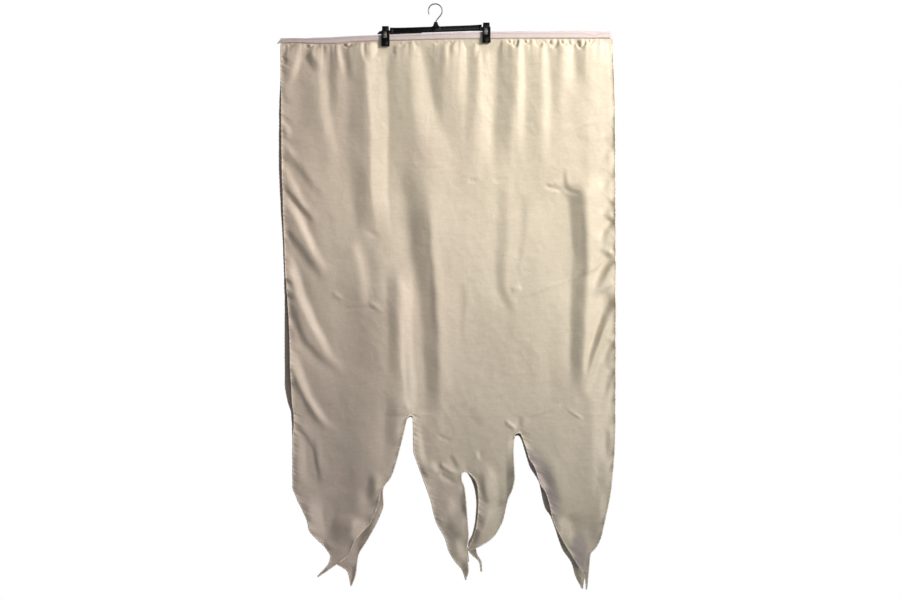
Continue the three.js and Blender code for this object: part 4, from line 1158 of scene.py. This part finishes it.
line = hook_line()
last = line[-1] - line[-2]
last /= np.linalg.norm(last)
rounding = (0.35, 0.7, 1.05, 1.35)
tip = [line[-1] + last * wire / 2 * math.sin(a) for a in rounding]
thick = wire / 2 * MM * np.r_[np.ones(len(line)), [math.cos(a) for a in rounding]]
hook = sweep("hook_wire", np.vstack([line, tip]) * MM, 1, thick, thick, 20)
hook.data.transform(hanger_turn)


def metal_material(name, dark, light):
    """Plated wire or spring steel, drawn along its length and a little dulled."""
    material, tree, shader = new_material(name)
    skin = add_skin(tree, 1400, 0.3)
    feed(tree, shader, {
        "Base Color": mix_colour(tree, skin.outputs["Height"], dark, light),
        "Roughness": map_range(tree, skin.outputs["Roughness"], 0.2, 0.5, 0.3, 0.5),
        "Normal": add_bump(tree, skin.outputs["Height"], 0.08, 0.0001),
        "Metallic": 1.0,
    })
    return material


plated_wire = metal_material("plated wire", (0.20, 0.18, 0.16), (0.34, 0.31, 0.28))
hook.data.materials.append(plated_wire)
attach(hook, "root")
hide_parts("hook")


# Clips
# A clip sits on the rod at each end of the bar: a front and a back jaw of the same black plastic,
# pressed together over both bands by a bent steel spring that shows in the window of each jaw.
clip_offset = 151.5
jaw_inner, jaw_outer = 5.55, 9.15


def jaw_shapes(side):
    """A jaw with a frame around its window, finger ridges on its neck and a pad at its foot."""
    def block(x0, x1, y0, y1, z0, z1, radius, segments=3):
        ys = sorted((side * y0, side * y1))
        return rounded_block((x0, ys[0], bar_level + z0), (x1, ys[1], bar_level + z1), radius,
                             segments)

    # The frame's two sides, its foot, the head with the finger ridges, and the pad
    shapes = [
        block(-12.5, -4.5, jaw_inner, jaw_outer, -47, 1, 1.1),
        block(4.5, 12.5, jaw_inner, jaw_outer, -47, 1, 1.1),
        block(-12.2, 12.2, jaw_inner, jaw_outer, -47, -22, 1.1),
        block(-10.2, 10.2, jaw_inner, jaw_outer, -2, 13.5, 1.2),
        block(-11, 11, 2.3, jaw_inner + 1, -46, -37, 0.5),
    ]
    for level in (3.4, 6.2, 9.0):
        shapes.append(block(-8, 8, jaw_outer - 0.5, jaw_outer + 0.45, level, level + 1.3, 0.4, 2))
    for edge in (-1, 1):
        xs = sorted((edge * 10.3, edge * 12.3))
        shapes.append(block(xs[0], xs[1], jaw_outer - 0.6, jaw_outer + 0.4, -45.5, -1, 0.4, 2))
    shapes.append(block(-9, 9, jaw_outer - 0.5, jaw_outer + 0.35, -44.8, -26, 0.35, 2))
    return shapes


def spring_shapes():
    shapes = []
    for side in (-1, 1):
        ys = sorted((side * 4.3, side * 5.2))
        shapes.append(rounded_block((-3.4, ys[0], bar_level - 21), (3.4, ys[1], bar_level + 2.9),
                                    0.3, 2))
    shapes.append(rounded_block((-3.4, -5.2, bar_level + 2.15), (3.4, 5.2, bar_level + 3.05), 0.4,
                                2))
    return shapes


spring_steel = metal_material("spring steel", (0.34, 0.32, 0.27), (0.52, 0.49, 0.43))
lean = Matrix.Rotation(-math.radians(0.5), 4, "Y")
for name, x in (("left", -clip_offset), ("right", clip_offset)):
    pivot = hanger_turn @ Vector((x * MM, 0, bar_level * MM))
    place = Matrix.Translation(pivot) @ lean @ Matrix.Translation((0, 0, -bar_level * MM))
    for face, side in (("front", -1), ("back", 1)):
        jaw = join_shapes(f"{name}_{face}_jaw", jaw_shapes(side), place)
        jaw.data.materials.append(black_plastic)
        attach(jaw, "root")
        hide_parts(f"clip_{name}_{face}_jaw")
    spring = join_shapes(f"{name}_spring", spring_shapes(), place)
    spring.data.materials.append(spring_steel)
    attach(spring, "root")
    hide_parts(f"clip_{name}_spring")


# Studio
# A pale floor well below the hanging cloth, a white surround, a warm light from the upper right, a
# broad cool one from the front, and weaker ones from the right and the left. One more lights the
# back. The camera stands level, 3.8 m away.
floor_level = -1.95
floor = link_mesh("floor", [
    (x, y, floor_level) for x, y in ((-1.3, -1.0), (1.3, -1.0), (1.3, 0.62), (-1.3, 0.62))
], [(0, 1, 2, 3)], smooth=False)
floor.data.materials.append(
    mottled_material("pale floor", 3.0, 3.0, (0.74, 0.73, 0.71), (0.80, 0.79, 0.77), 0.7))

world = bpy.data.worlds.new("studio")
bpy.context.scene.world = world
world.use_nodes = True
sky = world.node_tree
sky.nodes.clear()
glow = add_node(sky, "ShaderNodeBackground", {"Color": (0.95, 0.97, 1.0, 1), "Strength": 0.1})
white = add_node(sky, "ShaderNodeBackground", {"Color": (1, 1, 1, 1), "Strength": 1.0})
rays = add_node(sky, "ShaderNodeLightPath")
either = add_node(sky, "ShaderNodeMixShader", {
    "Fac": rays.outputs["Is Camera Ray"], 1: glow.outputs[0], 2: white.outputs[0],
})
add_node(sky, "ShaderNodeOutputWorld", {"Surface": either.outputs[0]})


def add_light(name, place, aim, size, power, colour, spread=180):
    light = bpy.data.lights.new(name, "AREA")
    light.spread = math.radians(spread)
    light.shape = "RECTANGLE"
    light.size, light.size_y = size
    light.energy = power
    light.color = colour
    lamp = link_piece(name, light)
    lamp.location = place
    lamp.rotation_euler = (Vector(aim) - Vector(place)).to_track_quat("-Z", "Y").to_euler()


add_light("key", (1.9, -1.3, 0.65), (0.38, 0, -0.22), (0.8, 0.8), 10.2, (1.0, 0.94, 0.9), 67)
add_light("side", (2.0, -1.8, -1.3), (0.45, 0, -1.1), (0.8, 0.8), 2.3, (1.0, 0.95, 0.88), 54)
add_light("fill", (0.6, -3.4, 0.1), (0.1, 0, -0.7), (1.2, 1.2), 10, (0.985, 0.98, 1.0))
add_light("left fill", (-1.4, -3.0, -0.5), (-0.2, 0, -0.9), (1.0, 1.0), 0.9, (1.0, 0.95, 0.9))
add_light("back fill", (-1.0, 2.6, 0.2), (0, 0, -0.9), (1.8, 1.8), 60, (1.0, 0.97, 0.93))

camera = link_piece("camera", bpy.data.cameras.new("camera"))
camera.location = (0.045, -3.756, -0.888)
camera.rotation_euler = (math.pi / 2, 0, 0)
camera.data.lens = 50
camera.data.sensor_width = 36
camera.data.clip_end = 20
bpy.context.scene.camera = camera
bpy.context.scene.view_settings.view_transform = "Standard"
